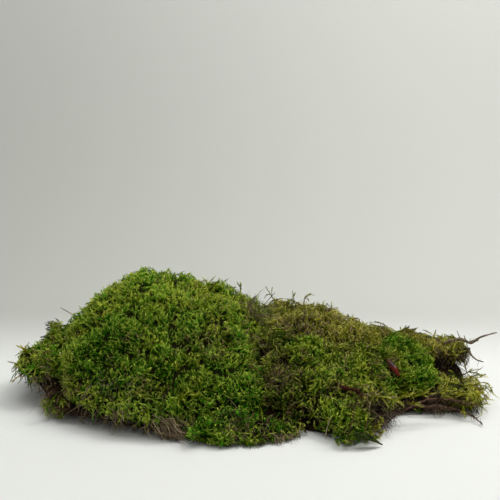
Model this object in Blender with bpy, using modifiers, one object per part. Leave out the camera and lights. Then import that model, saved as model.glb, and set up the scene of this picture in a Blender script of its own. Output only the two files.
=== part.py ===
# A torn-off clump of carpet moss: a felt of dead stems and soil that carries living cushions,
# with a forked twig, roots and a few loose fragments caught in it.
# The tables are in millimetres and the meshes in metres. X runs along the clump, Y away from
# its front, Z up. The origin is in the middle of the flat underside.

import math

import bmesh
import bpy
from mathutils import Vector, noise
from mathutils.bvhtree import BVHTree

MM = 0.001

# Driving dimensions
GAP = 0.5  # between the thatch and what grows on it
FLAT_SHARE = 0.6  # share of the thatch's radius that lies flat on the ground
THATCH_MIDDLE = 8.0  # thickness at the centre
FRONT_DROP = 0.72  # share of the crest's height lost down to the front edge
BACK_DROP = 0.70
TUFT_WIDTH = 11.0  # width of the rounded tufts on the cushions
SWELL_WIDTH = 24.0  # width of their broader swellings

# The whole clump across its length: x, y of the front edge, y and height of the crest, y of the
# back edge
SECTIONS = (
    (-99, -9, -4, 12, 5),
    (-92, -22, 0, 17, 20),
    (-85, -33, 8, 24.5, 31),
    (-76, -41, 14, 33, 42),
    (-68, -46, 18, 39.5, 49),
    (-57, -54, 20, 44, 55),
    (-45, -58, 20, 46.5, 59),
    (-30, -61, 22, 45, 60),
    (-15, -64, 24, 42, 59),
    (-3, -63, 24, 38.5, 57),
    (4, -60, 24, 35.5, 55),
    (14, -57, 26, 32, 54),
    (28, -60, 26, 31, 52),
    (42, -63, 26, 27.5, 50),
    (54, -49, 24, 25.5, 47),
    (66, -31, 20, 22.5, 42),
    (76, -30, 14, 17.5, 36),
    (88, -31, 8, 15.5, 26),
    (99, -18, 2, 13, 10),
)

# Rim of the thatch, seen from above: x, y, how far its edge curls up off the ground, its thickness
THATCH_RIM_POINTS = (
    (-93, -2, 9.5, 3.4),
    (-90, -17, 8.5, 3.6),
    (-84, -28, 6.5, 4),
    (-79, -39, 4.5, 4),
    (-68, -43, 4, 3.6),
    (-57, -49, 3.4, 3.2),
    (-44, -54, 2.6, 3),
    (-30, -58, 1.2, 2.6),
    (-14, -59, 0.3, 1.4),
    (2, -56, 0.3, 1.2),
    (14, -51, 0.5, 1.4),
    (22, -47, 1, 1.8),
    (32, -54, 0.6, 1.2),
    (42, -55, 0.3, 1.2),
    (52, -44, 0.6, 1.8),
    (60, -33, 1, 3),
    (68, -28.5, 1.6, 3.4),
    (82, -30, 1.6, 3),
    (91, -22, 2.4, 3),
    (94, -4, 3.6, 3),
    (92, 12, 4, 3),
    (84, 27, 4, 2.6),
    (70, 38, 3.4, 2.4),
    (46, 46, 2.6, 2.4),
    (20, 51, 2.4, 2.4),
    (-8, 55, 2.4, 2.4),
    (-34, 56, 2.4, 2.4),
    (-60, 49, 3.4, 2.6),
    (-80, 32, 6, 3),
    (-90, 14, 8.5, 3.2),
)

# The torn block of thatch that stands at the right rear under the flap
BLOCK_AT = (82, 24)
BLOCK_REACH = (15.5, 19)
BLOCK_HEIGHT = 6.2
BLOCK_FACE = (1.0, 5.0)  # y where its torn front face starts and ends

# Cushions: middle and rim seen from above, rise over the common height, height of the tufts and of
# the swellings on it, detail of the ball it starts from and the share of its faces that is kept,
# and its least thickness
CUSHIONS = {
    "moss_mound": dict(
        middle=(-38, 3),
        rim=((5, -38), (4, -44.5), (-3, -50), (-16, -52.5), (-28, -59), (-42, -57.5), (-55, -53), (-66, -46),
             (-73, -38), (-77, -24), (-80, -8), (-80.5, 8), (-80, 24), (-72, 41), (-58, 53), (-42, 59),
             (-24, 60), (-8, 57), (0, 50), (5, 38), (7, 24), (6, 8), (3.5, -7), (2, -19), (3.2, -31)),
        rise=-0.9, tuft=2.0, swell=2.2, detail=5, keep=0.47),
    "moss_left_tuft": dict(
        middle=(-89, 0),
        rim=((-98, -5), (-95, -15), (-88, -23), (-83, -20), (-81.8, -6), (-82.3, 8), (-82.5, 21), (-88, 26),
             (-95, 16), (-98, 5)),
        rise=0, tuft=1.4, swell=0.8, detail=4, keep=0.24),
    "moss_front_fringe": dict(
        middle=(-3, -57.5),
        rim=((-25, -60.5), (-15, -64.5), (-4, -64), (8, -61), (18, -56), (23, -51), (13, -49), (2, -53.2),
             (-13, -55.8), (-22, -58)),
        rise=-6.0, tuft=1.2, swell=0.6, detail=4, keep=0.26),
    "moss_rear_mat": dict(
        middle=(36, 24),
        rim=((5, 52), (8.5, 38), (10, 24), (9, 8), (7.5, -2), (22, -4.5), (36, -3.5), (48, -1.5), (55, 4.5),
             (61.5, 10.5), (63.8, 24), (63, 38), (54, 46), (34, 51), (16, 54)),
        rise=0, tuft=2.0, swell=2.4, detail=5, keep=0.21),
    "moss_front_mat": dict(
        middle=(32, -29),
        rim=((6.5, -6), (5, -19), (6.5, -31), (10, -40), (16, -46), (23, -49), (29, -57), (36, -64),
             (43, -62), (50, -52), (56, -41), (60, -30), (55, -24), (52.5, -15), (53, -5), (48, -5),
             (36, -7), (22, -8)),
        rise=0, tuft=2.0, swell=1.6, detail=5, keep=0.22),
    "moss_bright_tuft": dict(
        middle=(66, -9),
        rim=((56.5, -3), (55, -13), (57.5, -22.5), (64, -26), (72, -25), (76.5, -14), (76, -3), (71, 2),
             (65, 5), (60, 4)),
        rise=3, tuft=1.8, swell=1, detail=4, keep=0.3),
    "moss_end_tuft": dict(
        middle=(87, -15),
        rim=((79, -4), (78.3, -14), (77, -25), (82, -31), (90, -30.5), (95, -23), (97, -11), (94, -3),
             (87, -0.5)),
        rise=-5.0, tuft=1.4, swell=0.8, detail=4, keep=0.28),
    "moss_rear_flap": dict(
        middle=(80, 19),
        rim=((68.6, 10), (74, 7), (84, 5.5), (92, 6), (96, 11), (93, 22), (85, 32), (76, 38), (69.4, 37),
             (68.4, 22)),
        rise=0.3, tuft=1.0, swell=0.6, detail=4, keep=0.28, least=2.0),
}

# Shoots that stand clear of the outline: the cushion each grows from, thickness at start, middle
# and end, and points as x, y, z, the first of them inside the cushion
SPRIGS = (
    ("moss_mound", (1.2, 1.4, 0.5), ((-3.4, 24, 34), (-4.4, 24, 38.5), (-4.2, 24, 41.5))),
    ("moss_rear_mat", (1.0, 1.1, 0.6), (
        (15, 22, 26), (10, 23, 34.6), (6.4, 23, 36.6), (6.4, 23, 40.4))),
    ("moss_rear_mat", (1.0, 1.0, 0.4), ((21, 25, 28), (19.2, 25, 33.6), (18.7, 25, 37.6))),
    ("moss_rear_mat", (1.0, 1.3, 0.6), ((24, 24, 29), (24.4, 24, 35), (26.4, 24, 37), (28.6, 24, 35.4))),
    ("moss_left_tuft", (1.4, 1.8, 0.6), ((-93, 0.4, 16), (-96.6, -1.2, 19.2), (-98.8, -2.4, 20.8))),
    ("moss_left_tuft", (1.4, 1.8, 0.6), ((-94.4, -7, 13.6), (-98.4, -10.4, 15.6), (-100.6, -12, 16.8))),
    ("moss_left_tuft", (1.4, 1.6, 0.6), ((-92, -14.6, 13), (-95.6, -19, 12.2), (-97.6, -20.6, 10.8))),
    ("moss_end_tuft", (1.2, 1.7, 0.5), ((92, -6, 7), (96.6, -5.8, 9.2), (99.4, -6.6, 8.8))),
    ("moss_end_tuft", (1.2, 1.6, 0.5), ((91, -19, 7), (96.6, -22.6, 8.6), (98.8, -23.6, 9.8))),
    ("moss_end_tuft", (1.2, 1.4, 0.5), ((90, -24, 5.6), (95.4, -28, 6.4), (98.2, -29.4, 6))),
    ("moss_end_tuft", (1.2, 1.5, 0.5), ((88.4, -26, 5), (93.2, -31.6, 4.4), (95, -33.4, 2.4))),
    ("moss_end_tuft", (1.2, 1.5, 0.6), (
        (93, -12.6, 7), (98.6, -13.6, 7.6), (100.4, -14.8, 5.4), (99.4, -16, 3.4))),
)

# Loose stems and twigs: material, thickness at start, middle and end, points x, y, z, and the way
# each is pushed until it meets the clump
STRANDS = {
    "twig_stem": ("bark", (1.1, 1.2, 0.5), (
        (84, 10, 17), (88.4, 9.6, 19), (92.4, 9.2, 18.8), (94.9, 8.8, 17.4), (98.6, 8.2, 19.8),
        (101.8, 7.8, 21.6), (106, 7.4, 22.6)), (0, 0, -1)),
    "twig_fork": ("bark", (0.9, 0.8, 0.4), (
        (94.6, 8, 16.3), (94.5, 7.2, 15.2), (94.9, 6, 13.8), (97.4, 5, 11.8), (100.3, 4.5, 11.1)), None),
    "root_long": ("root", (1.2, 1.1, 0.4), (
        (64.5, -31, 4.2), (71, -32, 4.2), (77, -33, 3.8), (83, -34, 3.2), (87.5, -36.5, 2.4),
        (89.8, -40, 1.4), (91, -44, 0.8)), (0, 1, 0)),
    "root_short": ("root", (1.0, 0.9, 0.4), (
        (76.5, -33, 7), (82, -35, 6.2), (87, -35.4, 5.4), (91.5, -34.6, 5)), (0, 1, 0)),
    "hanging_shoot": ("moss_leaf", (0.9, 1.9, 0.7), (
        (84.4, -35.2, 6.4), (84.8, -36.8, 4.6), (85, -38, 2.6), (85.2, -38.6, 1.2)), (0, 1, 0)),
    "red_twig": ("red", (1.0, 1.3, 0.5), (
        (34.6, -47, 19), (39, -48, 18.1), (43.8, -48.5, 16)), (0, 0.5, -1)),
    "straw_left": ("straw", (0.4, 0.6, 0.4), (
        (-77, 8, 34), (-80.4, 6.6, 36.6), (-82.6, 6, 38)), (0.6, 0, -1)),
    "stem_front_bare": ("straw", (0.6, 0.7, 0.5), (
        (36.9, -65, 4), (37.6, -65, 8.4), (39, -64, 12.8), (39.6, -62.6, 16)), (0, 1, 0)),
    "stem_hollow_upper": ("moss_leaf", (0.8, 1.2, 0.7), (
        (50.6, -42, 12), (54.9, -40, 11), (58.3, -38, 9), (60.9, -37, 6.4)), (0, 1, 0)),
    "stem_hollow_lower": ("root", (0.7, 0.8, 0.5), (
        (53.6, -45, 1.8), (57, -43, 3.6), (60.3, -41, 5.3), (64, -40, 7), (68.4, -39, 8.4),
        (74, -38, 9.3)), (0, 1, 0)),
}
STRAND_SIDES = 1  # bevel resolution: six sides
CLEARANCE = 0.35  # between a loose piece and what it meets
SETTLE_REACH = 8.0  # furthest that it is pushed, from this far back
SETTLE_STEP = 0.1

# The red bud scale lies on the moss on the right: its two ends, width and thickness
BUD = dict(top=(55.4, -24, 22), bottom=(60.0, -29, 16), width=3.8, thickness=2.0, push=(0, 1, -0.3))

# The pointed leaf leans on the front mat with its tip on the ground
LEAF = dict(base=(38.4, -67, 4.6), tip=(49.6, -66.5, 0.7), width=5.0, thickness=0.5, fold=1.2,
            push=(0, 1, 0))

COLOURS = {  # base colour, roughness
    "thatch": ((0.105, 0.062, 0.035), 0.95),
    "moss_mound": ((0.098, 0.185, 0.020), 0.80),
    "moss_left_tuft": ((0.150, 0.180, 0.035), 0.80),
    "moss_front_fringe": ((0.105, 0.165, 0.028), 0.80),
    "moss_rear_mat": ((0.165, 0.170, 0.050), 0.80),
    "moss_front_mat": ((0.120, 0.150, 0.035), 0.80),
    "moss_bright_tuft": ((0.120, 0.250, 0.030), 0.78),
    "moss_end_tuft": ((0.140, 0.160, 0.045), 0.80),
    "moss_rear_flap": ((0.185, 0.175, 0.070), 0.85),
    "moss_leaf": ((0.150, 0.200, 0.040), 0.75),
    "moss_stem": ((0.090, 0.085, 0.030), 0.80),
    "bark": ((0.110, 0.070, 0.045), 0.80),
    "root": ((0.130, 0.070, 0.050), 0.75),
    "red": ((0.140, 0.020, 0.018), 0.60),
    "straw": ((0.420, 0.360, 0.200), 0.70),
    "bud": ((0.180, 0.010, 0.014), 0.22),
    "leaf": ((0.040, 0.085, 0.025), 0.45),
}


def material(name):
    found = bpy.data.materials.get(name)
    if found:
        return found
    colour, roughness = COLOURS[name]
    made = bpy.data.materials.new(name)
    made.use_nodes = True
    shader = made.node_tree.nodes["Principled BSDF"]
    shader.inputs["Base Color"].default_value = (*colour, 1)
    shader.inputs["Roughness"].default_value = roughness
    shader.inputs["Metallic"].default_value = 0
    return made


# Values along a table whose rows start with x, through its points on a smooth curve
def along(rows, x):
    last = len(rows) - 1
    x = min(max(x, rows[0][0]), rows[-1][0])
    i = next((n for n in range(last) if x <= rows[n + 1][0]), last - 1)
    a, b, c, d = rows[max(i - 1, 0)], rows[i], rows[i + 1], rows[min(i + 2, last)]
    t = (x - b[0]) / (c[0] - b[0])
    values = []
    for p, q, r, s in zip(a[1:], b[1:], c[1:], d[1:]):
        slope_q, slope_r = (r - p) / 2, (s - q) / 2
        values.append((2 * t**3 - 3 * t**2 + 1) * q + (t**3 - 2 * t**2 + t) * slope_q
                      + (3 * t**2 - 2 * t**3) * r + (t**3 - t**2) * slope_r)
    return values


# A closed rim seen from its middle: angle against radius and any further values
class Rim:
    def __init__(self, middle, points):
        self.middle = middle
        rows = []
        for x, y, *more in points:
            dx, dy = x - middle[0], y - middle[1]
            rows.append((math.atan2(dy, dx), math.hypot(dx, dy), *more))
        rows.sort()
        turn = 2 * math.pi
        before = [(row[0] - turn, *row[1:]) for row in rows[-2:]]
        after = [(row[0] + turn, *row[1:]) for row in rows[:2]]
        self.rows = before + rows + after

    def at(self, angle):
        return along(self.rows, angle)

    # share of the rim's radius, and the rim's values, in the direction of x, y
    def share(self, x, y):
        dx, dy = x - self.middle[0], y - self.middle[1]
        radius, *more = self.at(math.atan2(dy, dx))
        return math.hypot(dx, dy) / radius, more


thatch_rim = Rim((0, 0), THATCH_RIM_POINTS)


def smooth_step(low, high, value):
    t = min(max((value - low) / (high - low), 0), 1)
    return t * t * (3 - 2 * t)


# Underside of the clump: flat in the middle, curling up to the rim
def underside(x, y):
    share, (lift, _) = thatch_rim.share(x, y)
    return lift * max(0, (share - FLAT_SHARE) / (1 - FLAT_SHARE)) ** 2


def block(x, y):
    across = ((x - BLOCK_AT[0]) / BLOCK_REACH[0]) ** 4 + ((y - BLOCK_AT[1]) / BLOCK_REACH[1]) ** 4
    return BLOCK_HEIGHT * smooth_step(1.3, 0.7, across) * smooth_step(*BLOCK_FACE, y)


def thatch_thickness(x, y):
    share, (_, at_rim) = thatch_rim.share(x, y)
    return max(at_rim + (THATCH_MIDDLE - at_rim) * (1 - min(share, 1.1)**3), 0) + block(x, y)


# Top of the whole clump
def height(x, y):
    front, crest, top, back = along(SECTIONS, x)
    if y < crest:
        return top * (1 - FRONT_DROP * ((crest - y) / (crest - front)) ** 2.1)
    return top * (1 - BACK_DROP * ((y - crest) / (back - crest)) ** 2.0)


# Rounded tufts of about TUFT_WIDTH with broader swellings under them, both -1 to 1
def tufts(x, y):
    distances, _ = noise.voronoi(Vector((x, y, 0)) / TUFT_WIDTH)
    return 1 - 3 * distances[0] ** 2


def swellings(x, y):
    return noise.noise(Vector((x, y, 31)) / SWELL_WIDTH) * 1.6


# Height of a cushion's widest part as a share of its thickness, and how square its shoulder is: low
# and round at the clump's own edge, high and square where the next cushion stands against it, so
# that only a narrow cleft is left between them
OUTER_EDGE = (0.22, 4.5)
INNER_EDGE = (0.74, 12)


# Where the side profile of a pillow reaches its rim and its foot, as it is followed from the top of
# a ball (0) round to the middle of its underside (1)
RIM_AT = 0.74
FOOT_AT = 0.84


# Share of the rim's radius and share of the thickness along that profile
def pillow(followed, belly, squareness, foot=0.95):
    if followed <= RIM_AT:
        share = 1 - (1 - followed / RIM_AT) ** 1.4
        return share, belly + (1 - belly) * (1 - share**squareness) ** 0.5
    if followed <= FOOT_AT:
        turn = (followed - RIM_AT) / (FOOT_AT - RIM_AT) * math.pi / 2
        return foot + (1 - foot) * math.cos(turn), belly * (1 - math.sin(turn))
    return foot * (1 - followed) / (1 - FOOT_AT), 0.0


def add_ball(name, detail, keep):
    mesh = bpy.data.meshes.new(name)
    shape = bmesh.new()
    bmesh.ops.create_icosphere(shape, subdivisions=detail, radius=1)
    shape.to_mesh(mesh)
    shape.free()
    ball = bpy.data.objects.new(name, mesh)
    parts.objects.link(ball)
    if keep < 1:
        thin = ball.modifiers.new("thin_out", "DECIMATE")
        thin.ratio = keep
    return ball


def finish_piece(piece, colour):
    piece.data.materials.append(material(colour))
    piece.data.shade_smooth()


# Points and faces of a finished piece, which a loose piece is pushed against
def surface_of(piece):
    view = bpy.context.evaluated_depsgraph_get()
    mesh = bpy.data.meshes.new_from_object(piece.evaluated_get(view))
    mesh.transform(piece.matrix_world)
    points = [v.co.copy() for v in mesh.vertices]
    tree = BVHTree.FromPolygons(points, [p.vertices[:] for p in mesh.polygons])
    bpy.data.meshes.remove(mesh)
    return points, tree


# Distance from a point to a closed surface, below zero inside it, where a ray up and out of it
# crosses it an odd number of times
def distance_to(tree, point):
    up = Vector((0, 0, 1))
    crossings, start = 0, point
    while (hit := tree.ray_cast(start, up)[0]) is not None:
        crossings, start = crossings + 1, hit + up * 0.01 * MM
    distance = tree.find_nearest(point)[3]
    return -distance if crossings % 2 else distance


# Moves a piece the given way until it is CLEARANCE from the first thing it meets
def settle(piece, push):
    if push is None:
        surfaces.append(surface_of(piece))
        return
    way = Vector(push).normalized()
    points, own = surface_of(piece)
    low, high = Vector(map(min, zip(*points))), Vector(map(max, zip(*points)))
    centre, reach = (low + high) / 2, (high - low).length / 2 + SETTLE_REACH * MM
    near = [tree for _, tree in surfaces if tree.find_nearest(centre, reach)[0]]
    bumps = [p for others, _ in surfaces for p in others if (p - centre).length < reach]

    def room(shift):
        to_others = (distance_to(tree, p + shift) for tree in near for p in points)
        to_own = (own.find_nearest(p - shift)[3] for p in bumps)
        return min([SETTLE_REACH * MM, *to_others, *to_own])

    moved = -SETTLE_REACH
    while moved < SETTLE_REACH and room(way * (moved + SETTLE_STEP) * MM) > CLEARANCE * MM:
        moved += SETTLE_STEP
    piece.location += way * moved * MM
    bpy.context.view_layer.update()
    surfaces.append(surface_of(piece))


def make_thatch():
    piece = add_ball("thatch", 5, 0.3)
    for vertex in piece.data.vertices:
        x, y, z = vertex.co
        angle = math.atan2(y, x)
        share, lift = pillow(math.acos(max(-1, min(1, z))) / math.pi, 0.45, 14, foot=0.965)
        ragged = 1 - 0.02 * (1 + noise.noise(Vector((math.cos(angle), math.sin(angle), 0)) * 9))
        reach = share * thatch_rim.at(angle)[0] * ragged
        px, py = reach * math.cos(angle), reach * math.sin(angle)
        pz = underside(px, py) + thatch_thickness(px, py) * lift
        vertex.co = Vector((px, py, pz)) * MM
    finish_piece(piece, "thatch")


def make_cushion(name, middle, rim, rise, tuft, swell, detail, keep, least=3.0):
    piece = add_ball(name, detail, keep)
    outline = Rim(middle, rim)
    for vertex in piece.data.vertices:
        x, y, z = vertex.co
        angle = math.atan2(y, x)
        edge = outline.at(angle)[0]
        outward = thatch_rim.share(middle[0] + edge * math.cos(angle), middle[1] + edge * math.sin(angle))[0]
        outer = smooth_step(0.86, 0.98, outward)
        belly, squareness = (inner + (own - inner) * outer for inner, own in zip(INNER_EDGE, OUTER_EDGE))
        share, lift = pillow(math.acos(max(-1, min(1, z))) / math.pi, belly, squareness)
        ragged = 1 - 0.03 * outer * (1 + noise.noise(Vector((math.cos(angle), math.sin(angle), z)) * 5))
        reach = share * edge * ragged
        px = middle[0] + reach * math.cos(angle)
        py = middle[1] + reach * math.sin(angle)
        foot = underside(px, py) + thatch_thickness(px, py) + GAP
        top = height(px, py) + rise + tuft * tufts(px, py) + swell * swellings(px, py)
        thick = max(top - foot, least)
        vertex.co = Vector((px, py, foot + thick * lift)) * MM
    finish_piece(piece, name)
    for number, (grows_from, thickness, points) in enumerate(SPRIGS):
        if grows_from == name:
            grown = piece.modifiers.new(f"sprig_{number}", "BOOLEAN")
            grown.operation = "UNION"
            grown.object = sprig_mesh(f"sprig_{number}", thickness, points)


def make_curve(name, thickness, points):
    start, middle, end = thickness
    curve = bpy.data.curves.new(name, "CURVE")
    curve.dimensions = "3D"
    curve.bevel_depth = MM / 2
    curve.bevel_resolution = STRAND_SIDES
    curve.use_fill_caps = True
    spline = curve.splines.new("POLY")
    spline.points.add(len(points) - 1)
    for i, (point, place) in enumerate(zip(spline.points, points)):
        t = i / (len(points) - 1)
        point.co = (*(Vector(place) * MM), 1)
        point.radius = start + (middle - start) * 2 * t if t < 0.5 else middle + (end - middle) * (2 * t - 1)
    return bpy.data.objects.new(name, curve)


def make_strand(name, colour, thickness, points, push):
    strand = make_curve(name, thickness, points)
    parts.objects.link(strand)
    strand.data.materials.append(material(colour))
    settle(strand, push)


# A sprig as a closed mesh that a cushion can be joined with
def sprig_mesh(name, thickness, points):
    strand = make_curve(name + "_curve", thickness, points)
    guides.objects.link(strand)
    mesh = bpy.data.meshes.new_from_object(strand.evaluated_get(bpy.context.evaluated_depsgraph_get()))
    bpy.data.objects.remove(strand)
    shape = bmesh.new()
    shape.from_mesh(mesh)
    bmesh.ops.remove_doubles(shape, verts=shape.verts, dist=0.01 * MM)
    shape.to_mesh(mesh)
    shape.free()
    sprig = bpy.data.objects.new(name, mesh)
    sprig.hide_render = True
    sprig.display_type = "WIRE"
    guides.objects.link(sprig)
    return sprig


def make_bud(top, bottom, width, thickness, push):
    piece = add_ball("bud_scale", 3, 0.6)
    top, bottom = Vector(top), Vector(bottom)
    length = (bottom - top).length
    for vertex in piece.data.vertices:
        x, y, z = vertex.co
        taper = 1 - 0.55 * abs(x) ** 2.5
        vertex.co = Vector((x * length, y * width * taper, z * thickness * taper)) * (MM / 2)
    piece.location = (top + bottom) / 2 * MM
    piece.rotation_euler = (bottom - top).to_track_quat("X", "Z").to_euler()
    finish_piece(piece, "bud")
    bpy.context.view_layer.update()
    settle(piece, push)


# A lance-shaped blade, folded up along its midrib
def make_leaf(base, tip, width, thickness, fold, push):
    base, tip = Vector(base), Vector(tip)
    ribs = 7
    shape = bmesh.new()
    bmesh.ops.create_grid(shape, x_segments=ribs, y_segments=2, size=0.5)
    along_leaf = tip - base
    side = along_leaf.cross(Vector((0, 0, 1))).normalized()
    upward = side.cross(along_leaf).normalized()
    for vertex in shape.verts:
        t, across = vertex.co.x + 0.5, vertex.co.y * 2
        half = width / 2 * (0.12 + 0.88 * math.sin(math.pi * (0.12 + 0.86 * t) ** 0.8) ** 0.9) * (1 - t**6)
        place = base + along_leaf * t + side * across * max(half, 0.15)
        place += upward * (abs(across) * fold * half / width * 2 + 1.0 * math.sin(math.pi * t))
        vertex.co = place * MM
    mesh = bpy.data.meshes.new("pointed_leaf")
    shape.to_mesh(mesh)
    shape.free()
    piece = bpy.data.objects.new("pointed_leaf", mesh)
    parts.objects.link(piece)
    solid = piece.modifiers.new("blade", "SOLIDIFY")
    solid.thickness = thickness * MM
    solid.offset = 0
    finish_piece(piece, "leaf")
    settle(piece, push)


for old in list(bpy.data.objects):
    bpy.data.objects.remove(old, do_unlink=True)
parts = bpy.data.collections.new("moss_clump")
guides = bpy.data.collections.new("sprigs")
for collection in (parts, guides):
    bpy.context.scene.collection.children.link(collection)

make_thatch()
for cushion_name, cushion in CUSHIONS.items():
    make_cushion(cushion_name, **cushion)
surfaces = [surface_of(piece) for piece in parts.objects]
for strand_name, strand in STRANDS.items():
    make_strand(strand_name, *strand)
make_bud(**BUD)
make_leaf(**LEAF)
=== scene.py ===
import math

import bmesh
import bpy
import numpy as np
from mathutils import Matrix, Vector, noise
from mathutils.bvhtree import BVHTree


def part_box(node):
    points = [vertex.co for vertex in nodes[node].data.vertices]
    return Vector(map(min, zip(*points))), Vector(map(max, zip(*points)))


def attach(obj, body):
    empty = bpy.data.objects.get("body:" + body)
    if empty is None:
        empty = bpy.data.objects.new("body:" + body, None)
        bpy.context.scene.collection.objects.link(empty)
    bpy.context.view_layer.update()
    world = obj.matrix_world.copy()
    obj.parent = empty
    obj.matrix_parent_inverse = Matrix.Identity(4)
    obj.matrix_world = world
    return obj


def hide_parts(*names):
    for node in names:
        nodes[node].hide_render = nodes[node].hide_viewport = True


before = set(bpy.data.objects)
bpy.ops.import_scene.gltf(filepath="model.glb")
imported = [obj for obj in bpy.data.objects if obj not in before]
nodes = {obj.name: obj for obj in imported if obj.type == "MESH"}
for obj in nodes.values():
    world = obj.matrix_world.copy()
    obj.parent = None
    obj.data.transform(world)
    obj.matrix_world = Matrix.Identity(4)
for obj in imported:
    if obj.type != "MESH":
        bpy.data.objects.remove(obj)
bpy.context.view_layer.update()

mm = 0.001
goldenTurn = 2.39996
anyTurn = 6.283        # the range of a random turn
ground = dict(shoots=0.05, details=0.1, stems=(0.15, 0.45))    # lowest height of each in mm
noise.seed_set(7)        # noise_vector, and so the crooks of twigs and roots, the same each run
print("frame loaded")


def addObject(name, data):
    made = bpy.data.objects.new(name, data)
    bpy.context.scene.collection.objects.link(made)
    return made


# Camera at the photograph's angle
cameraView = dict(lens=85, height=170.1, back=478.6, pitch=12.8, nearest=10)

cameraData = bpy.data.cameras.new("camera")
cameraData.lens = cameraView["lens"]
cameraData.clip_start = cameraView["nearest"] * mm
camera = addObject("camera", cameraData)
camera.location = (0, -cameraView["back"] * mm, cameraView["height"] * mm)
camera.rotation_euler = (math.radians(90 - cameraView["pitch"]), 0, 0)
bpy.context.scene.camera = camera
bpy.context.scene.view_settings.view_transform = "Standard"


# Shader helpers

def newMaterial(name):
    made = bpy.data.materials.new(name)
    made.use_nodes = True
    tree = made.node_tree
    return made, tree, tree.nodes["Principled BSDF"]


# Links a socket to a node's output or sets its own value
def feed(tree, socket, value):
    if isinstance(value, bpy.types.NodeSocket):
        tree.links.new(value, socket)
    else:
        socket.default_value = value


# A node with its settings and its inputs, which go by name, or by number as i0, i1 and so on
def addNode(tree, kind, settings=None, **inputs):
    made = tree.nodes.new(kind)
    for key, value in (settings or {}).items():
        setattr(made, key, value)
    for key, value in inputs.items():
        feed(tree, made.inputs[int(key[1:]) if key[1:].isdigit() else key], value)
    return made


def colour(rgb):
    return (*rgb, 1)


def mixColours(tree, share, first, second, blend="MIX"):
    settings = dict(data_type="RGBA", blend_type=blend)
    return addNode(tree, "ShaderNodeMix", settings, i0=share, i6=first, i7=second).outputs[2]


def rangeOf(tree, value, low, high, toLow=0.0, toHigh=1.0):
    made = addNode(tree, "ShaderNodeMapRange", dict(interpolation_type="SMOOTHSTEP"),
                   i0=value, i1=low, i2=high, i3=toLow, i4=toHigh)
    return made.outputs[0]


def sums(tree, kind, first, second):
    return addNode(tree, "ShaderNodeMath", dict(operation=kind), i0=first, i1=second).outputs[0]


def placeNoise(tree, scale, detail, roughness=0.55):
    place = addNode(tree, "ShaderNodeTexCoord").outputs["Object"]
    made = addNode(tree, "ShaderNodeTexNoise", Vector=place, Scale=scale, Detail=detail, Roughness=roughness)
    return made.outputs[0]


# What a material's own shader shows: colour, roughness and gloss, and bumps of a depth in mm
def surface(tree, shader, base, roughness, gloss, height=None, strength=0.0, depth=0.0):
    feed(tree, shader.inputs["Base Color"], base)
    feed(tree, shader.inputs["Roughness"], roughness)
    shader.inputs["Specular IOR Level"].default_value = gloss
    if height is not None:
        bump = addNode(tree, "ShaderNodeBump", Height=height, Strength=strength, Distance=depth * mm)
        tree.links.new(bump.outputs[0], shader.inputs["Normal"])


def makeGroup(name, inputs, outputs):
    group = bpy.data.node_groups.new(name, "ShaderNodeTree")
    for label, kind, value in inputs:
        socket = group.interface.new_socket(label, in_out="INPUT", socket_type=kind)
        socket.default_value = value
    for label, kind in outputs:
        group.interface.new_socket(label, in_out="OUTPUT", socket_type=kind)
    return group, group.nodes.new("NodeGroupInput").outputs, group.nodes.new("NodeGroupOutput").inputs


# How a shoot's colour changes: size and strength of the mottling, where its tip starts to turn pale with
# young growth and a painted highlight, where its dark foot of painted shade ends, and its roughness at foot
# and tip
mossTone = dict(mottleScale=140, mottling=2.2, tipFrom=0.45, footTo=0.5, roughness=(0.75, 0.5))


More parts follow.
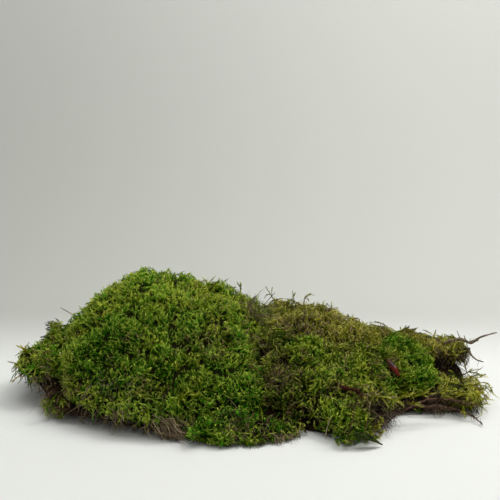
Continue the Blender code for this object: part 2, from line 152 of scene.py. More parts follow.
# Colour of a moss shoot: from its dark foot, painted shade deep in the mat, over its green middle to its
# pale tip, partly young growth and partly a painted highlight, fresh or olive, dead where the shoot has
# died, mottled from place to place, and darker or lighter by its tint between painted shade and painted light
def mossColourGroup():
    group, given, out = makeGroup("mossShootColour", (
        ("Fresh", "NodeSocketColor", (0.1, 0.2, 0.02, 1)),
        ("Olive", "NodeSocketColor", (0.15, 0.15, 0.04, 1)),
        ("Tip", "NodeSocketColor", (0.3, 0.35, 0.08, 1)),
        ("Dead", "NodeSocketColor", (0.16, 0.11, 0.05, 1)),
        ("Dead Tip", "NodeSocketColor", (0.3, 0.22, 0.11, 1)),
        ("Foot", "NodeSocketColor", (0.03, 0.025, 0.01, 1)),
        ("Tip Share", "NodeSocketFloat", 0.6),
        ("Shade", "NodeSocketColor", (0.4, 0.6, 0.3, 1)),
        ("Light", "NodeSocketColor", (1.4, 1.3, 1.4, 1)),
    ), (("Color", "NodeSocketColor"), ("Roughness", "NodeSocketFloat")))
    growth = addNode(group, "ShaderNodeAttribute", dict(attribute_name="growth"))
    reach, dead, lush = addNode(group, "ShaderNodeSeparateXYZ", i0=growth.outputs["Vector"]).outputs
    tint = addNode(group, "ShaderNodeAttribute", dict(attribute_name="tint")).outputs["Fac"]
    mottle = sums(group, "SUBTRACT", placeNoise(group, mossTone["mottleScale"], 2), 0.5)
    mottled = sums(group, "MULTIPLY", mottle, mossTone["mottling"])
    lushHere = rangeOf(group, sums(group, "ADD", lush, mottled), 0.0, 1.0)
    green = mixColours(group, lushHere, given["Olive"], given["Fresh"])
    # The tip turns pale: its young growth and a painted highlight
    tipHere = sums(group, "MULTIPLY", rangeOf(group, reach, mossTone["tipFrom"], 1.0), given["Tip Share"])
    green = mixColours(group, tipHere, green, given["Tip"])
    # Tint multiplies the green between Shade and Light: painted shade and painted light, with each shoot's
    # own tone
    toned = mixColours(group, tint, given["Shade"], given["Light"])
    green = mixColours(group, 1.0, green, toned, "MULTIPLY")
    brown = mixColours(group, sums(group, "MULTIPLY", reach, tint), given["Dead"], given["Dead Tip"])
    both = mixColours(group, dead, green, brown)
    # The dark foot: painted shade deep in the mat
    both = mixColours(group, rangeOf(group, reach, 0.0, mossTone["footTo"]), given["Foot"], both)
    feed(group, out["Color"], both)
    feed(group, out["Roughness"], rangeOf(group, reach, 0.0, 1.0, *mossTone["roughness"]))
    return group


mossColour = mossColourGroup()


def mossMaterial(name, look):
    made, tree, shader = newMaterial(name)
    group = addNode(tree, "ShaderNodeGroup", dict(node_tree=mossColour))
    for label in ("Fresh", "Olive", "Tip", "Dead", "Dead Tip", "Foot", "Shade", "Light"):
        group.inputs[label].default_value = colour(look[label])
    group.inputs["Tip Share"].default_value = look["tipShare"]
    surface(tree, shader, group.outputs["Color"], group.outputs["Roughness"], look["gloss"])
    return made


# Mesh helpers

def meshFromArrays(name, points, triangles, uv, growth, tint):
    mesh = bpy.data.meshes.new(name)
    count = len(triangles)
    corners = np.asarray(triangles, np.int32).ravel()
    mesh.vertices.add(len(points))
    mesh.vertices.foreach_set("co", np.asarray(points, np.float32).ravel())
    mesh.loops.add(count * 3)
    mesh.loops.foreach_set("vertex_index", corners)
    mesh.polygons.add(count)
    mesh.polygons.foreach_set("loop_start", np.arange(0, count * 3, 3, dtype=np.int32))
    mesh.polygons.foreach_set("use_smooth", np.full(count, True))
    layer = mesh.uv_layers.new(name="OFBake")
    layer.data.foreach_set("uv", np.asarray(uv, np.float32)[corners].ravel())
    kept = mesh.attributes.new("growth", "FLOAT_VECTOR", "POINT")
    kept.data.foreach_set("vector", np.asarray(growth, np.float32).ravel())
    kept = mesh.attributes.new("tint", "FLOAT", "POINT")
    kept.data.foreach_set("value", np.asarray(tint, np.float32).ravel())
    mesh.update()
    mesh.validate()
    return mesh


# Several sets of points, triangles, flat map, growth and tint as one set. Each keeps its own row of
# the flat map
def joined(sets):
    points, triangles, maps, growth, tint = zip(*sets)
    starts = np.cumsum([0] + [len(one) for one in points])
    triangles = [one + start for one, start in zip(triangles, starts)]
    maps = [(one + (0, row)) * (1, 1 / len(sets)) for row, one in enumerate(maps)]
    return [np.concatenate(parts) for parts in (points, triangles, maps, growth, tint)]


def addPiece(name, arrays, material, replaced=None):
    piece = addObject(name, meshFromArrays(name, *arrays))
    piece.data.materials.append(material)
    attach(piece, "root")
    if replaced:
        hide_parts(replaced)


# A node's mesh as a shape to work on, with its corners joined
def shapeOf(name):
    shape = bmesh.new()
    shape.from_mesh(nodes[name].data)
    bmesh.ops.remove_doubles(shape, verts=shape.verts, dist=1e-6)
    return shape


# A smooth object of one material from a shape, which is used up
def objectFrom(shape, name, material):
    mesh = bpy.data.meshes.new(name)
    shape.to_mesh(mesh)
    shape.free()
    mesh.shade_smooth()
    mesh.materials.clear()
    mesh.materials.append(material)
    return addObject(name, mesh)


def unit(rows):
    return rows / np.maximum(np.linalg.norm(rows, axis=-1, keepdims=True), 1e-9)


# The part of each row that lies across its way
def acrossOf(rows, ways):
    return rows - (rows * ways).sum(1)[:, None] * ways


def nodeTriangles(name):
    mesh = nodes[name].data
    mesh.calc_loop_triangles()
    points = np.zeros(len(mesh.vertices) * 3)
    mesh.vertices.foreach_get("co", points)
    corners = np.zeros(len(mesh.loop_triangles) * 3, np.int32)
    mesh.loop_triangles.foreach_get("vertices", corners)
    return points.reshape(-1, 3), corners.reshape(-1, 3)


# Search tree of the surface of some nodes
def treeOf(*names):
    points, corners = [], []
    for name in names:
        found, faces = nodeTriangles(name)
        corners.append(faces + sum(map(len, points)))
        points.append(found)
    return BVHTree.FromPolygons([Vector(p) for p in np.concatenate(points)], np.concatenate(corners).tolist())


trees = {name: treeOf(name) for name in nodes}
cushionNames = [name for name in sorted(nodes) if name.startswith("moss_")]
clumpTree = treeOf(*cushionNames, "thatch")


# Even random places on a node's surface with their outward normals
def placesOn(name, perSquareMm, seed):
    rng = np.random.default_rng(seed)
    points, corners = nodeTriangles(name)
    a, b, c = (points[corners[:, i]] for i in range(3))
    across = np.cross(b - a, c - a)
    area = np.linalg.norm(across, axis=1) / 2
    count = int(area.sum() * 1e6 * perSquareMm)
    picked = np.searchsorted(np.cumsum(area) / area.sum(), rng.random(count))
    picked = np.minimum(picked, len(area) - 1)
    u, v = rng.random((2, count))
    flip = u + v > 1
    u[flip], v[flip] = 1 - u[flip], 1 - v[flip]
    places = a[picked] + (b - a)[picked] * u[:, None] + (c - a)[picked] * v[:, None]
    return places, unit(across)[picked]


# Ways to look along, and where each starts over its place and how far it goes in mm
openForm = dict(ways=12, lowest=-0.35, highest=0.95, lift=1.2, reach=30, grazing=0.1)


def openWays():
    ways = []
    for k, height in enumerate(np.linspace(openForm["lowest"], openForm["highest"], openForm["ways"])):
        flat = math.sqrt(1 - height * height)
        ways.append((math.cos(k * goldenTurn) * flat, math.sin(k * goldenTurn) * flat, height))
    return unit(np.array(ways))


# How open a place is to the sky and the sides, from 0 in a closed cleft to 1
def openness(places, normals):
    ways = openWays()
    found = np.zeros(len(places))
    for i, (place, normal) in enumerate(zip(places, normals)):
        start = Vector(place + normal * openForm["lift"] * mm)
        free = total = 0
        for way in ways:
            facing = float(way @ normal)
            if facing < openForm["grazing"]:
                continue
            total += facing
            if clumpTree.ray_cast(start, Vector(way), openForm["reach"] * mm)[0] is None:
                free += facing
        found[i] = free / total if total else 0
    return found


# Smooth random values from place to place, about -1 to 1
def patchy(places, width, seed):
    start = Vector((seed * 7.3, 3.1, seed))
    return np.array([noise.noise(Vector(p) / (width * mm) + start) for p in places]) * 1.7


# How strongly each place lies in one of the named patches: x, y, z, radius in mm and amount
def inPatches(places, patches):
    total = np.zeros(len(places))
    for x, y, z, radius, amount in patches:
        away = np.linalg.norm(places / mm - (x, y, z), axis=1) / radius
        total += amount * np.clip(1.15 - away, 0, 1) ** 0.8
    return total


# Moss shoots

shootForm = dict(
    ringsAt=(0.0, 0.45, 0.82),
    ringWidths=(0.8, 1.0, 0.75),
    leaves=16,
    leavesFrom=0.2,
)
sprigForm = dict(
    ringsAt=(0.0, 0.22, 0.44, 0.66, 0.86),
    ringWidths=(0.9, 1.0, 0.95, 0.8, 0.6),
    leaves=44,
    leavesFrom=0.06,
)

# Leaves of all shoots: how far up the last one sits, how much their places, turns, sizes and angles
# vary, and how size and angle change from foot to tip
leafHabit = dict(
    last=0.97, shift=0.012, twist=0.25, rootOut=0.55,
    size=((0, 0.5, 0.85, 1), (0.75, 1.0, 0.85, 0.5)), sizes=(0.75, 1.2),
    angle=((0, 0.8, 1), (1.15, 0.95, 0.35)), angles=(0.7, 1.3),
)


# Triangles of a stem of three-sided rings that ends in a point
def stemFaces(rings):
    faces = []
    for ring in range(rings - 1):
        for s in range(3):
            p, q = ring * 3 + s, ring * 3 + (s + 1) % 3
            faces += [(p, q, q + 3), (p, q + 3, p + 3)]
    last = (rings - 1) * 3
    return faces + [(last + s, last + (s + 1) % 3, last + 3) for s in range(3)]


# Directions of the three corners of each ring
def ringWays(side, other):
    turn = np.arange(3) * 2 * math.pi / 3
    return side[..., None, :] * np.cos(turn)[:, None] + other[..., None, :] * np.sin(turn)[:, None]


# Many alike shoots or stems as one set of arrays, each with a cell of its own on the flat map
def setOf(points, faces, inCell, reach, growth, tint):
    count, each = points.shape[:2]
    triangles = np.arange(count)[:, None, None] * each + np.array(faces)
    grown = np.empty((count, each, 3))
    grown[..., 0] = reach
    grown[..., 1:] = growth[:, None]
    cells = max(1, math.ceil(math.sqrt(count)))
    cell = np.stack((np.arange(count) % cells, np.arange(count) // cells), axis=1)
    uv = (cell[:, None] + inCell) / cells
    return (points.reshape(-1, 3), triangles.reshape(-1, 3), uv.reshape(-1, 2), grown.reshape(-1, 3),
            np.clip(tint, 0, 1).ravel())


# One mesh of many shoots. Each bends from its root to its tip and carries a spiral of narrow leaves
def shootArrays(form, tips, ways, bends, lengths, girths, leafLengths, leafWidths, leafAngles,
                growth, tints, seed, leafSpeckleAndHighlight=0.22):
    rng = np.random.default_rng(seed)
    count, rings, leaves = len(tips), len(form["ringsAt"]), form["leaves"]
    perLeaf = (count, leaves)
    roots = tips - ways * lengths[:, None] - bends
    helper = unit(np.cross(ways, rng.normal(size=(count, 3))))

    def frameAt(t):
        centre = roots[:, None] + ways[:, None] * (lengths[:, None] * t)[..., None]
        centre = centre + bends[:, None] * (t * t)[..., None]
        along = unit(ways[:, None] * lengths[:, None, None] + 2 * bends[:, None] * t[..., None])
        side = unit(np.cross(along, helper[:, None]))
        return centre, along, side, np.cross(along, side)

    t = np.broadcast_to(form["ringsAt"], (count, rings))
    centre, along, side, other = frameAt(t)
    widths = girths[:, None] * form["ringWidths"]
    body = centre[:, :, None] + ringWays(side, other) * widths[:, :, None, None]
    top = frameAt(np.ones((count, 1)))[0]

    k = np.arange(leaves)
    leafT = form["leavesFrom"] + (leafHabit["last"] - form["leavesFrom"]) * (k + 0.5) / leaves
    leafT = np.clip(leafT + rng.normal(0, leafHabit["shift"], perLeaf), 0.05, 0.99)
    base, along, side, other = frameAt(leafT)
    spin = k * goldenTurn + rng.random((count, 1)) * anyTurn + rng.normal(0, leafHabit["twist"], perLeaf)
    outward = side * np.cos(spin)[..., None] + other * np.sin(spin)[..., None]
    size = np.interp(leafT, *leafHabit["size"]) * rng.uniform(*leafHabit["sizes"], perLeaf)
    angle = leafAngles[:, None] * np.interp(leafT, *leafHabit["angle"])
    angle = angle * rng.uniform(*leafHabit["angles"], perLeaf)
    pointing = along * np.cos(angle)[..., None] + outward * np.sin(angle)[..., None]
    foot = base + outward * (girths[:, None] * leafHabit["rootOut"])[..., None]
    half = np.cross(along, outward) * (leafWidths[:, None] * size / 2)[..., None]
    end = foot + pointing * (leafLengths[:, None] * size)[..., None]
    leaf = np.stack((foot - half, foot + half, end), axis=2)

    points = np.concatenate((body.reshape(count, -1, 3), top, leaf.reshape(count, -1, 3)), axis=1)
    points[..., 2] = np.maximum(points[..., 2], ground["shoots"] * mm)
    inBody = rings * 3 + 1
    faces = stemFaces(rings) + [tuple(inBody + n * 3 + s for s in range(3)) for n in range(leaves)]
    leafReach = np.stack((leafT, leafT, np.minimum(leafT + 0.2, 1.0)), axis=2).reshape(count, -1)
    reach = np.concatenate((np.repeat(t, 3, axis=1), np.ones((count, 1)), leafReach), axis=1)
    # Each leaf's tint varies round its shoot's: speckle of tone and painted highlights
    leafTints = np.repeat(tints[:, None] + rng.normal(0, leafSpeckleAndHighlight, perLeaf), 3, axis=1)
    tint = np.concatenate((np.repeat(tints[:, None], inBody, axis=1), leafTints), axis=1)

    # in its cell of the flat map the body lies below and the leaves in five columns above
    column = k * 5 // leaves
    leafU = np.stack((column + 0.08, column + 0.92, column + 0.5), axis=1).ravel() / 5
    u = np.concatenate((np.repeat(form["ringsAt"], 3), (1.0,), leafU)) * 0.92 + 0.04
    v = np.concatenate((np.tile((0.04, 0.25, 0.46), rings), (0.25,), np.tile((0.54, 0.54, 0.94), leaves)))
    return setOf(points, faces, np.stack((u, v), axis=1), reach, growth, tint)


stemForm = dict(rings=6, taper=0.7, wobble=0.10, waves=7)


# One mesh of many bare stems: thin tubes that bend from root to tip and never sink into the ground
def stemArrays(roots, ways, bends, lengths, girths, tints, seed):
    rng = np.random.default_rng(seed)
    count, rings = len(roots), stemForm["rings"]
    at = np.linspace(0, 1, rings + 1)
    t = np.broadcast_to(at, (count, rings + 1))
    helper = unit(np.cross(ways, rng.normal(size=(count, 3))))
    phase = rng.random((count, 1)) * anyTurn
    sway = (np.sin(t * stemForm["waves"] + phase) - np.sin(phase)) * stemForm["wobble"] * lengths[:, None]
    centre = roots[:, None] + ways[:, None] * (lengths[:, None] * t)[..., None]
    centre = centre + bends[:, None] * (t * t)[..., None] + helper[:, None] * sway[..., None]
    width = girths[:, None] * (1 - stemForm["taper"] * t[:, :-1])
    around = ringWays(helper, np.cross(ways, helper))
    body = centre[:, :-1, None] + around[:, None] * width[..., None, None]
    points = np.concatenate((body.reshape(count, -1, 3), centre[:, -1:]), axis=1)
    low, high = ground["stems"]
    points[..., 2] = np.maximum(points[..., 2], low * mm + rng.random((count, 1)) * (high - low) * mm)
    reach = np.append(np.repeat(at[:-1], 3), 1.0)
    inCell = np.stack((reach * 0.9 + 0.05, np.append(np.tile((0.05, 0.5, 0.95), rings), 0.5)), axis=1)
    dead = np.tile((1.0, 0.0), (count, 1))
    tint = np.repeat(tints[:, None], len(reach), axis=1)
    return setOf(points, stemFaces(rings), inCell, reach * 0.6 + 0.4, dead, tint)


# Where moss has died back, is freshest, is lightest with its own tone and painted light, stands thin and is
# darkest with its own tone and painted shade: x, y, z and radius in mm, and how much
mossPatches = dict(
    dead=(
        (-46, -32, 31, 6, 0.35), (-38, -48, 18, 7, 0.6), (-16, -28, 30, 13, 0.45), (-76, -33, 9, 12, 0.8),
        (-30, -56, 4, 10, 0.8), (-5.7, -56, 9, 8, 0.8), (6, -20, 26, 10, 0.6), (12, -34, 18, 13, 0.55),
        (21, -2, 29, 11, 0.6), (39, -11, 24, 8, 0.5), (20, -48, 5, 9, 0.7), (36, -44, 16, 9, 0.5),
        (50, -45, 9, 11, 0.9), (-64, -8, 35, 6, 0.3), (84, 2, 6, 9, 0.9), (56, -20, 20, 8, 0.5),
        (-21, 14, 39, 16, 0.25), (35, 22, 28, 26, 0.25), (78, 16, 17, 18, 0.15), (0, 5, 36, 12, 0.45),
        (14, -65, 1, 7, 0.5), (-70, -20, 20, 9, 0.4), (-32, 44, 20, 15, 0.5), (-66, 34, 22, 13, 0.4),
        (-4, 40, 20, 12, 0.4), (-50, 52, 8, 13, 0.5), (30, 42, 12, 14, 0.4), (-84, 18, 16, 10, 0.4),
    ),
    lush=(
        (-40, -8, 42, 20, 0.5), (-55, -15, 38, 14, 0.35), (-60, -40, 20, 16, 0.5), (-38, -38, 26, 12, 0.45),
        (-5, -47, 20, 14, 0.65), (71, -15, 14, 11, 1.2), (30, -52, 12, 10, 0.4), (-34, -52, 12, 7, 0.5),
        (60, -4, 24, 8, 0.8), (-11, -64, 4, 14, 0.6), (22, -17, 27, 7, 0.4), (43, -36, 18, 6, 0.3),
        (-62, -28, 28, 14, 0.6), (0, -55, 12, 10, 0.5), (45, -58, 6, 9, 0.4),
    ),
    light=(
        (-45, 12, 48, 26, 0.30), (-14, 12, 42, 20, 0.28), (-78, -2, 30, 22, 0.16), (-96, -8, 15, 12, 0.25),
        (-47, -54, 13, 9, 0.35), (-16, -20, 33, 14, 0.12), (48, -40, 17, 14, 0.12), (20, -55, 10, 10, 0.10),
        (94, -16, 8, 14, 0.25), (-20, 48, 12, 14, 0.20), (-76, 26, 20, 12, 0.25), (40, 36, 18, 12, 0.2),
    ),
    bare=(
        (51, -46, 7, 8, 1.3), (20, -50, 4, 7, 0.8), (84, 0, 9, 10, 1.2), (56, -44, 4, 7, 1.0),
        (97, -10, 8, 6, 0.8), (98, -22, 5, 7, 0.8), (93, -32, 3, 6, 0.7), (8, -68, 0, 9, 0.6),
    ),
    deep=(
        (-60, -30, 27, 16, 0.30), (-32, -42, 22, 10, 0.25), (8, -48, 9, 12, 0.25), (-18, -40, 24, 9, 0.18),
        (14, -12, 26, 10, 0.25), (-44, 44, 20, 12, 0.2), (-8, 30, 30, 10, 0.15), (58, 24, 18, 12, 0.15),
    ),
)

# For each cushion: shoots to a square mm, their mean length, how far they lean over and bend, how
# fresh and how dead they are, and the seed of their places. Some also have their own look, number of
# pieces, speckle and painted highlights from leaf to leaf, contrast of tone and painted light and shade,
# spread of heights, lift in mm, and how much fresher or duller they get towards a neighbour
cushions = dict(
    moss_mound=dict(shoots=0.84, length=5.8, lean=0.75, bend=0.55, lush=0.53, dead=-0.02, seed=11, pieces=3,
                    leafSpeckleAndHighlight=0.25, border=dict(node="moss_rear_mat", width=12, lush=-0.6)),
    moss_left_tuft=dict(shoots=1.0, length=4.9, lean=0.75, bend=0.5, lush=0.30, dead=0.12, seed=12),
    moss_front_fringe=dict(shoots=1.45, length=5.4, lean=0.9, bend=0.6, lush=0.5, dead=0.10, seed=13,
                           leafSpeckleAndHighlight=0.34, contrast=1.25),
    moss_rear_mat=dict(shoots=0.78, length=6.6, lean=0.95, bend=0.5, lush=0.05, dead=0.15, seed=14,
                       look="pale", border=dict(node="moss_mound", width=12, lush=1.0)),
    moss_front_mat=dict(shoots=1.0, length=5.2, lean=0.95, bend=0.6, lush=0.22, dead=0.12, seed=15,
                        leafSpeckleAndHighlight=0.34, contrast=1.45),
    moss_bright_tuft=dict(shoots=0.9, length=5.6, lean=0.8, bend=0.5, lush=0.3, dead=0.02, seed=16),
    moss_end_tuft=dict(shoots=1.25, length=7.0, lean=0.9, bend=0.5, lush=0.35, dead=0.16, seed=17,
                       look="pale", spread=1.5, leafSpeckleAndHighlight=0.3, contrast=1.3),
    moss_rear_flap=dict(shoots=1.7, length=5.2, lean=0.9, bend=0.5, lush=0.0, dead=0.20, seed=18, look="pale",
                        lift=0.7),
)

# Foot is painted shade deep in the mat, Tip partly a painted highlight, and Shade and Light the painted shade
# and painted light multiplied over the green
mossLooks = dict(
    green={
        "Fresh": (0.046, 0.255, 0.004), "Olive": (0.182, 0.245, 0.001), "Tip": (0.515, 0.61, 0.090),
        "Dead": (0.110, 0.065, 0.030), "Dead Tip": (0.48, 0.36, 0.19), "Foot": (0.003, 0.010, 0.001),
        "Shade": (0.10, 0.29, 0.02), "Light": (1.86, 1.68, 1.90), "tipShare": 0.72, "gloss": 0.03,
    },
    pale={
        "Fresh": (0.255, 0.335, 0.009), "Olive": (0.355, 0.330, 0.010), "Tip": (0.69, 0.67, 0.16),
        "Dead": (0.150, 0.095, 0.050), "Dead Tip": (0.55, 0.44, 0.27), "Foot": (0.007, 0.008, 0.002),
        "Shade": (0.30, 0.45, 0.20), "Light": (1.60, 1.50, 1.60), "tipShare": 0.72, "gloss": 0.04,
    },
)
moss = {look: mossMaterial("moss_" + look, values) for look, values in mossLooks.items()}


# Single shoots that stand clear of the outline: the cushion each grows from and its points in mm
sprigs = (
    ("moss_mound", ((-3.4, 24, 34), (-4.4, 24, 38.5), (-4.2, 24, 41.5))),
    ("moss_rear_mat", ((15, 22, 26), (10, 23, 34.6), (6.4, 23, 36.6), (6.4, 23, 40.4))),
    ("moss_rear_mat", ((21, 25, 28), (19.2, 25, 33.6), (18.7, 25, 37.6))),
    ("moss_rear_mat", ((24, 24, 29), (24.4, 24, 35), (26.4, 24, 37), (28.6, 24, 35.4))),
    ("moss_left_tuft", ((-93, 0.4, 16), (-96.6, -1.2, 19.2), (-98.8, -2.4, 20.8))),
    ("moss_left_tuft", ((-94.4, -7, 13.6), (-98.4, -10.4, 15.6), (-100.6, -12, 16.8))),
    ("moss_left_tuft", ((-92, -14.6, 13), (-95.6, -19, 12.2), (-97.6, -20.6, 10.8))),
    ("moss_end_tuft", ((92, -6, 7), (96.6, -5.8, 9.2), (99.4, -6.6, 8.8))),
    ("moss_end_tuft", ((91, -19, 7), (96.6, -22.6, 8.6), (98.8, -23.6, 9.8))),
    ("moss_end_tuft", ((90, -24, 5.6), (95.4, -28, 6.4), (98.2, -29.4, 6))),
    ("moss_end_tuft", ((88.4, -26, 5), (93.2, -31.6, 4.4), (95, -33.4, 2.4))),
    ("moss_end_tuft", ((93, -12.6, 7), (98.6, -13.6, 7.6), (100.4, -14.8, 5.4), (99.4, -16, 3.4))),
    ("moss_end_tuft", ((88, -9, 9), (93, -10, 12.4), (96.6, -11, 13.2))),
    ("moss_end_tuft", ((87, -14, 9), (94, -17, 11.8), (98.4, -18, 12))),
    ("moss_end_tuft", ((88, -20, 7), (94.6, -22, 6.6), (97.8, -22.4, 5))),
    ("moss_end_tuft", ((88, -17, 8), (94, -18.6, 8.8), (99.6, -20, 8))),
    ("moss_end_tuft", ((87, -24, 5), (93.4, -26.6, 4.2), (97.4, -27.4, 3.4))),
)
sprigRoom = 1.1        # mm kept free of other shoots round each


def sprigsOf(*names):
    return [points for cushion, points in sprigs if cushion in names]


# Nearest distance in mm from each place to a sprig of the cushion, leaving out its lowest part, and
# the foot of that sprig
def nearSprig(name, places):
    nearest = np.full(len(places), np.inf)
    feet = np.zeros((len(places), 3))
    for points in sprigsOf(name):
        points = np.array(points, float)
        for a, b in zip(points, points[1:]):
            t = np.clip(((places / mm - a) @ (b - a)) / ((b - a) @ (b - a)), 0, 1)
            away = np.linalg.norm(places / mm - a - t[:, None] * (b - a), axis=1)
            feet[away < nearest] = points[0]
            nearest = np.minimum(nearest, away)
    return nearest, feet


# Felt of old stems under the shoots, near black as painted shade deep in the mat: how deep in mm it lies,
# at most which share of a cushion's thickness, how much deeper in bare patches, and how much of the open end
# beyond an x it leaves
coreForm = dict(depth=3.4, share=0.42, hollow=4.0, openFrom=86, openShare=0.25)
coreLook = dict(dark=(0.006, 0.009, 0.002), green=(0.030, 0.034, 0.007), brown=(0.017, 0.014, 0.006))


def makeCoreMaterial():
    made, tree, shader = newMaterial("old_stems_painted_shade")
    # Its dark, dark green and brown are painted shade deep in the mat, mottled like a felt of old stems
    grain = placeNoise(tree, 420, 4, roughness=0.7)
    wide = placeNoise(tree, 60, 2)
    dark, green, brown = map(colour, coreLook.values())
    base = mixColours(tree, rangeOf(tree, grain, 0.35, 0.7), dark, green)
    base = mixColours(tree, rangeOf(tree, wide, 0.4, 0.65), base, brown)
    surface(tree, shader, base, 0.95, 0.02, height=grain, strength=0.8, depth=0.8)
    return made


coreMaterial = makeCoreMaterial()


# A cushion's inside: its node drawn in, under the shoots, and nothing where its sprigs are
def makeCore(name):
    shape = shapeOf(name)
    shape.normal_update()
    bare = np.clip(inPatches(np.array([v.co for v in shape.verts]), mossPatches["bare"]), 0, 1)
    moved = []
    for vertex, bareness in zip(shape.verts, bare):
        inward = -vertex.normal
        hit = trees[name].ray_cast(vertex.co + inward * 0.05 * mm, inward)
        thick = hit[3] if hit[3] is not None else 2 * mm
        depth = coreForm["depth"] + noise.noise(vertex.co / (4 * mm)) + bareness * coreForm["hollow"]
        moved.append(vertex.co + inward * min(depth * mm, thick * coreForm["share"]))
    for vertex, place in zip(shape.verts, moved):
        vertex.co = place
        if name == "moss_end_tuft":
            beyond = max(0, vertex.co.x / mm - coreForm["openFrom"])
            vertex.co.x -= beyond * (1 - coreForm["openShare"]) * mm
    away, feet = nearSprig(name, np.array([v.co for v in shape.verts]))
    for vertex, distance, foot in zip(shape.verts, away, feet):
        if distance < sprigRoom:
            vertex.co = Vector(foot) * mm
    core = objectFrom(shape, name + "_core", coreMaterial)
    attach(core, "root")
    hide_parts(name)


# Room in mm in front of a place where another cushion faces it across a narrow cleft, else 0
def facingRoom(name, places, normals, widest=9):
    others = [trees[n] for n in cushionNames if n != name]
    found = np.zeros(len(places))
    for i, (place, normal) in enumerate(zip(places, normals)):
        start, way = Vector(place + normal * 0.2 * mm), Vector(normal)
        hits = [tree.ray_cast(start, way, widest * mm)[3] for tree in others]
        found[i] = min([hit for hit in hits if hit is not None], default=0) / mm
    return found


# Places, their direction from the middle of their own cell of the given width, and how near they
# are to the next cell
def cellsOf(places, normals, width):
    away = np.zeros((len(places), 3))
    between = np.zeros(len(places))
    for i, place in enumerate(places):
        distances, centres = noise.voronoi(Vector(place) / (width * mm))
        away[i] = place / (width * mm) - centres[0]
        between[i] = distances[0]
    return acrossOf(away, normals), np.clip(between, 0, 1)


# How near each place is to another node, from 0 at the given width in mm to 1, with a ragged edge
def nearNode(name, places, width, seed):
    away = np.array([trees[name].find_nearest(Vector(p))[3] for p in places]) / mm
    return np.clip(1 - away / width + 0.5 * patchy(places, 6, seed + 11), 0, 1)


# Shoots stand in tufts and smaller sprays, lean away from the middle of both and stand lower between
# tufts. Widths, heights and sizes in mm; two numbers are a range, or mean and spread for leaning,
# height and freshness
tuftForm = dict(width=7.5, lean=0.5, sink=1.9, sprayWidth=2.7, sprayLean=0.75)
shootHabit = dict(
    steepest=-0.75, leaning=(0.85, 0.45), combed=0.45, combedWidth=16, length=(0.6, 1.45), inClefts=0.75,
    bend=(0.1, 1.0), bendOut=0.15, bendDown=0.25,
    height=(-0.35, 0.75), heights=(-3.0, 1.8), proudShare=0.02, proud=(0.8, 2.2), intoRoom=(0.15, 0.6),
    swell=0.9, swellWidth=7, rootAbove=0.4, tipAbove=0.7,
    girth=(0.12, 0.21), leafLength=(0.8, 1.4), deadLeaf=0.75, leafWidth=(0.32, 0.50), leafAngle=(0.45, 0.85),
)
shootTone = dict(
    deadPatch=0.75, deadWaves=(7, 0.16), lushAlive=0.35, deadShare=(0.6, 1.0), fading=0.5,
    lushPatch=0.7, deadDull=0.4, lushWaves=(9, 0.45), lushSpread=0.27,
    tint=(1.8, 2.3), tintWaves=(5, 0.10),
)


# Which shoots are dead, how dead and how fresh each is, and how light, with painted light and shade in its
# tint
def tonesOf(rng, places, seed, lush, dead, contrast, border):
    count, tone = len(places), shootTone
    patched = {key: inPatches(places, mossPatches[key]) for key in ("dead", "lush", "light", "deep")}
    waves = {key: tone[key][1] * patchy(places, tone[key][0], seed + step)
             for key, step in (("deadWaves", 5), ("lushWaves", 6), ("tintWaves", 8))}
    deadness = dead + patched["dead"] * tone["deadPatch"] + waves["deadWaves"]
    deadness -= tone["lushAlive"] * patched["lush"]
    isDead = rng.random(count) < np.clip(deadness, 0.01, 0.92)
    deadShare = np.where(isDead, rng.uniform(*tone["deadShare"], count),
                         np.clip(deadness, 0, 0.5) * tone["fading"])
    lushShare = lush + patched["lush"] * tone["lushPatch"] - patched["dead"] * tone["deadDull"]
    lushShare += waves["lushWaves"]
    if border:
        lushShare = lushShare + border["lush"] * nearNode(border["node"], places, border["width"], seed)
    lushShare = np.clip(lushShare + rng.normal(0, tone["lushSpread"], count), 0, 1)
    # Tint: random tone and waves, with painted light and painted shade from the light and deep patches,
    # widened by contrast
    tints = rng.beta(*tone["tint"], count) + waves["tintWaves"] + patched["light"] - patched["deep"]
    return isDead, np.stack((deadShare, lushShare), axis=1), np.clip(0.5 + (tints - 0.5) * contrast, 0, 1)


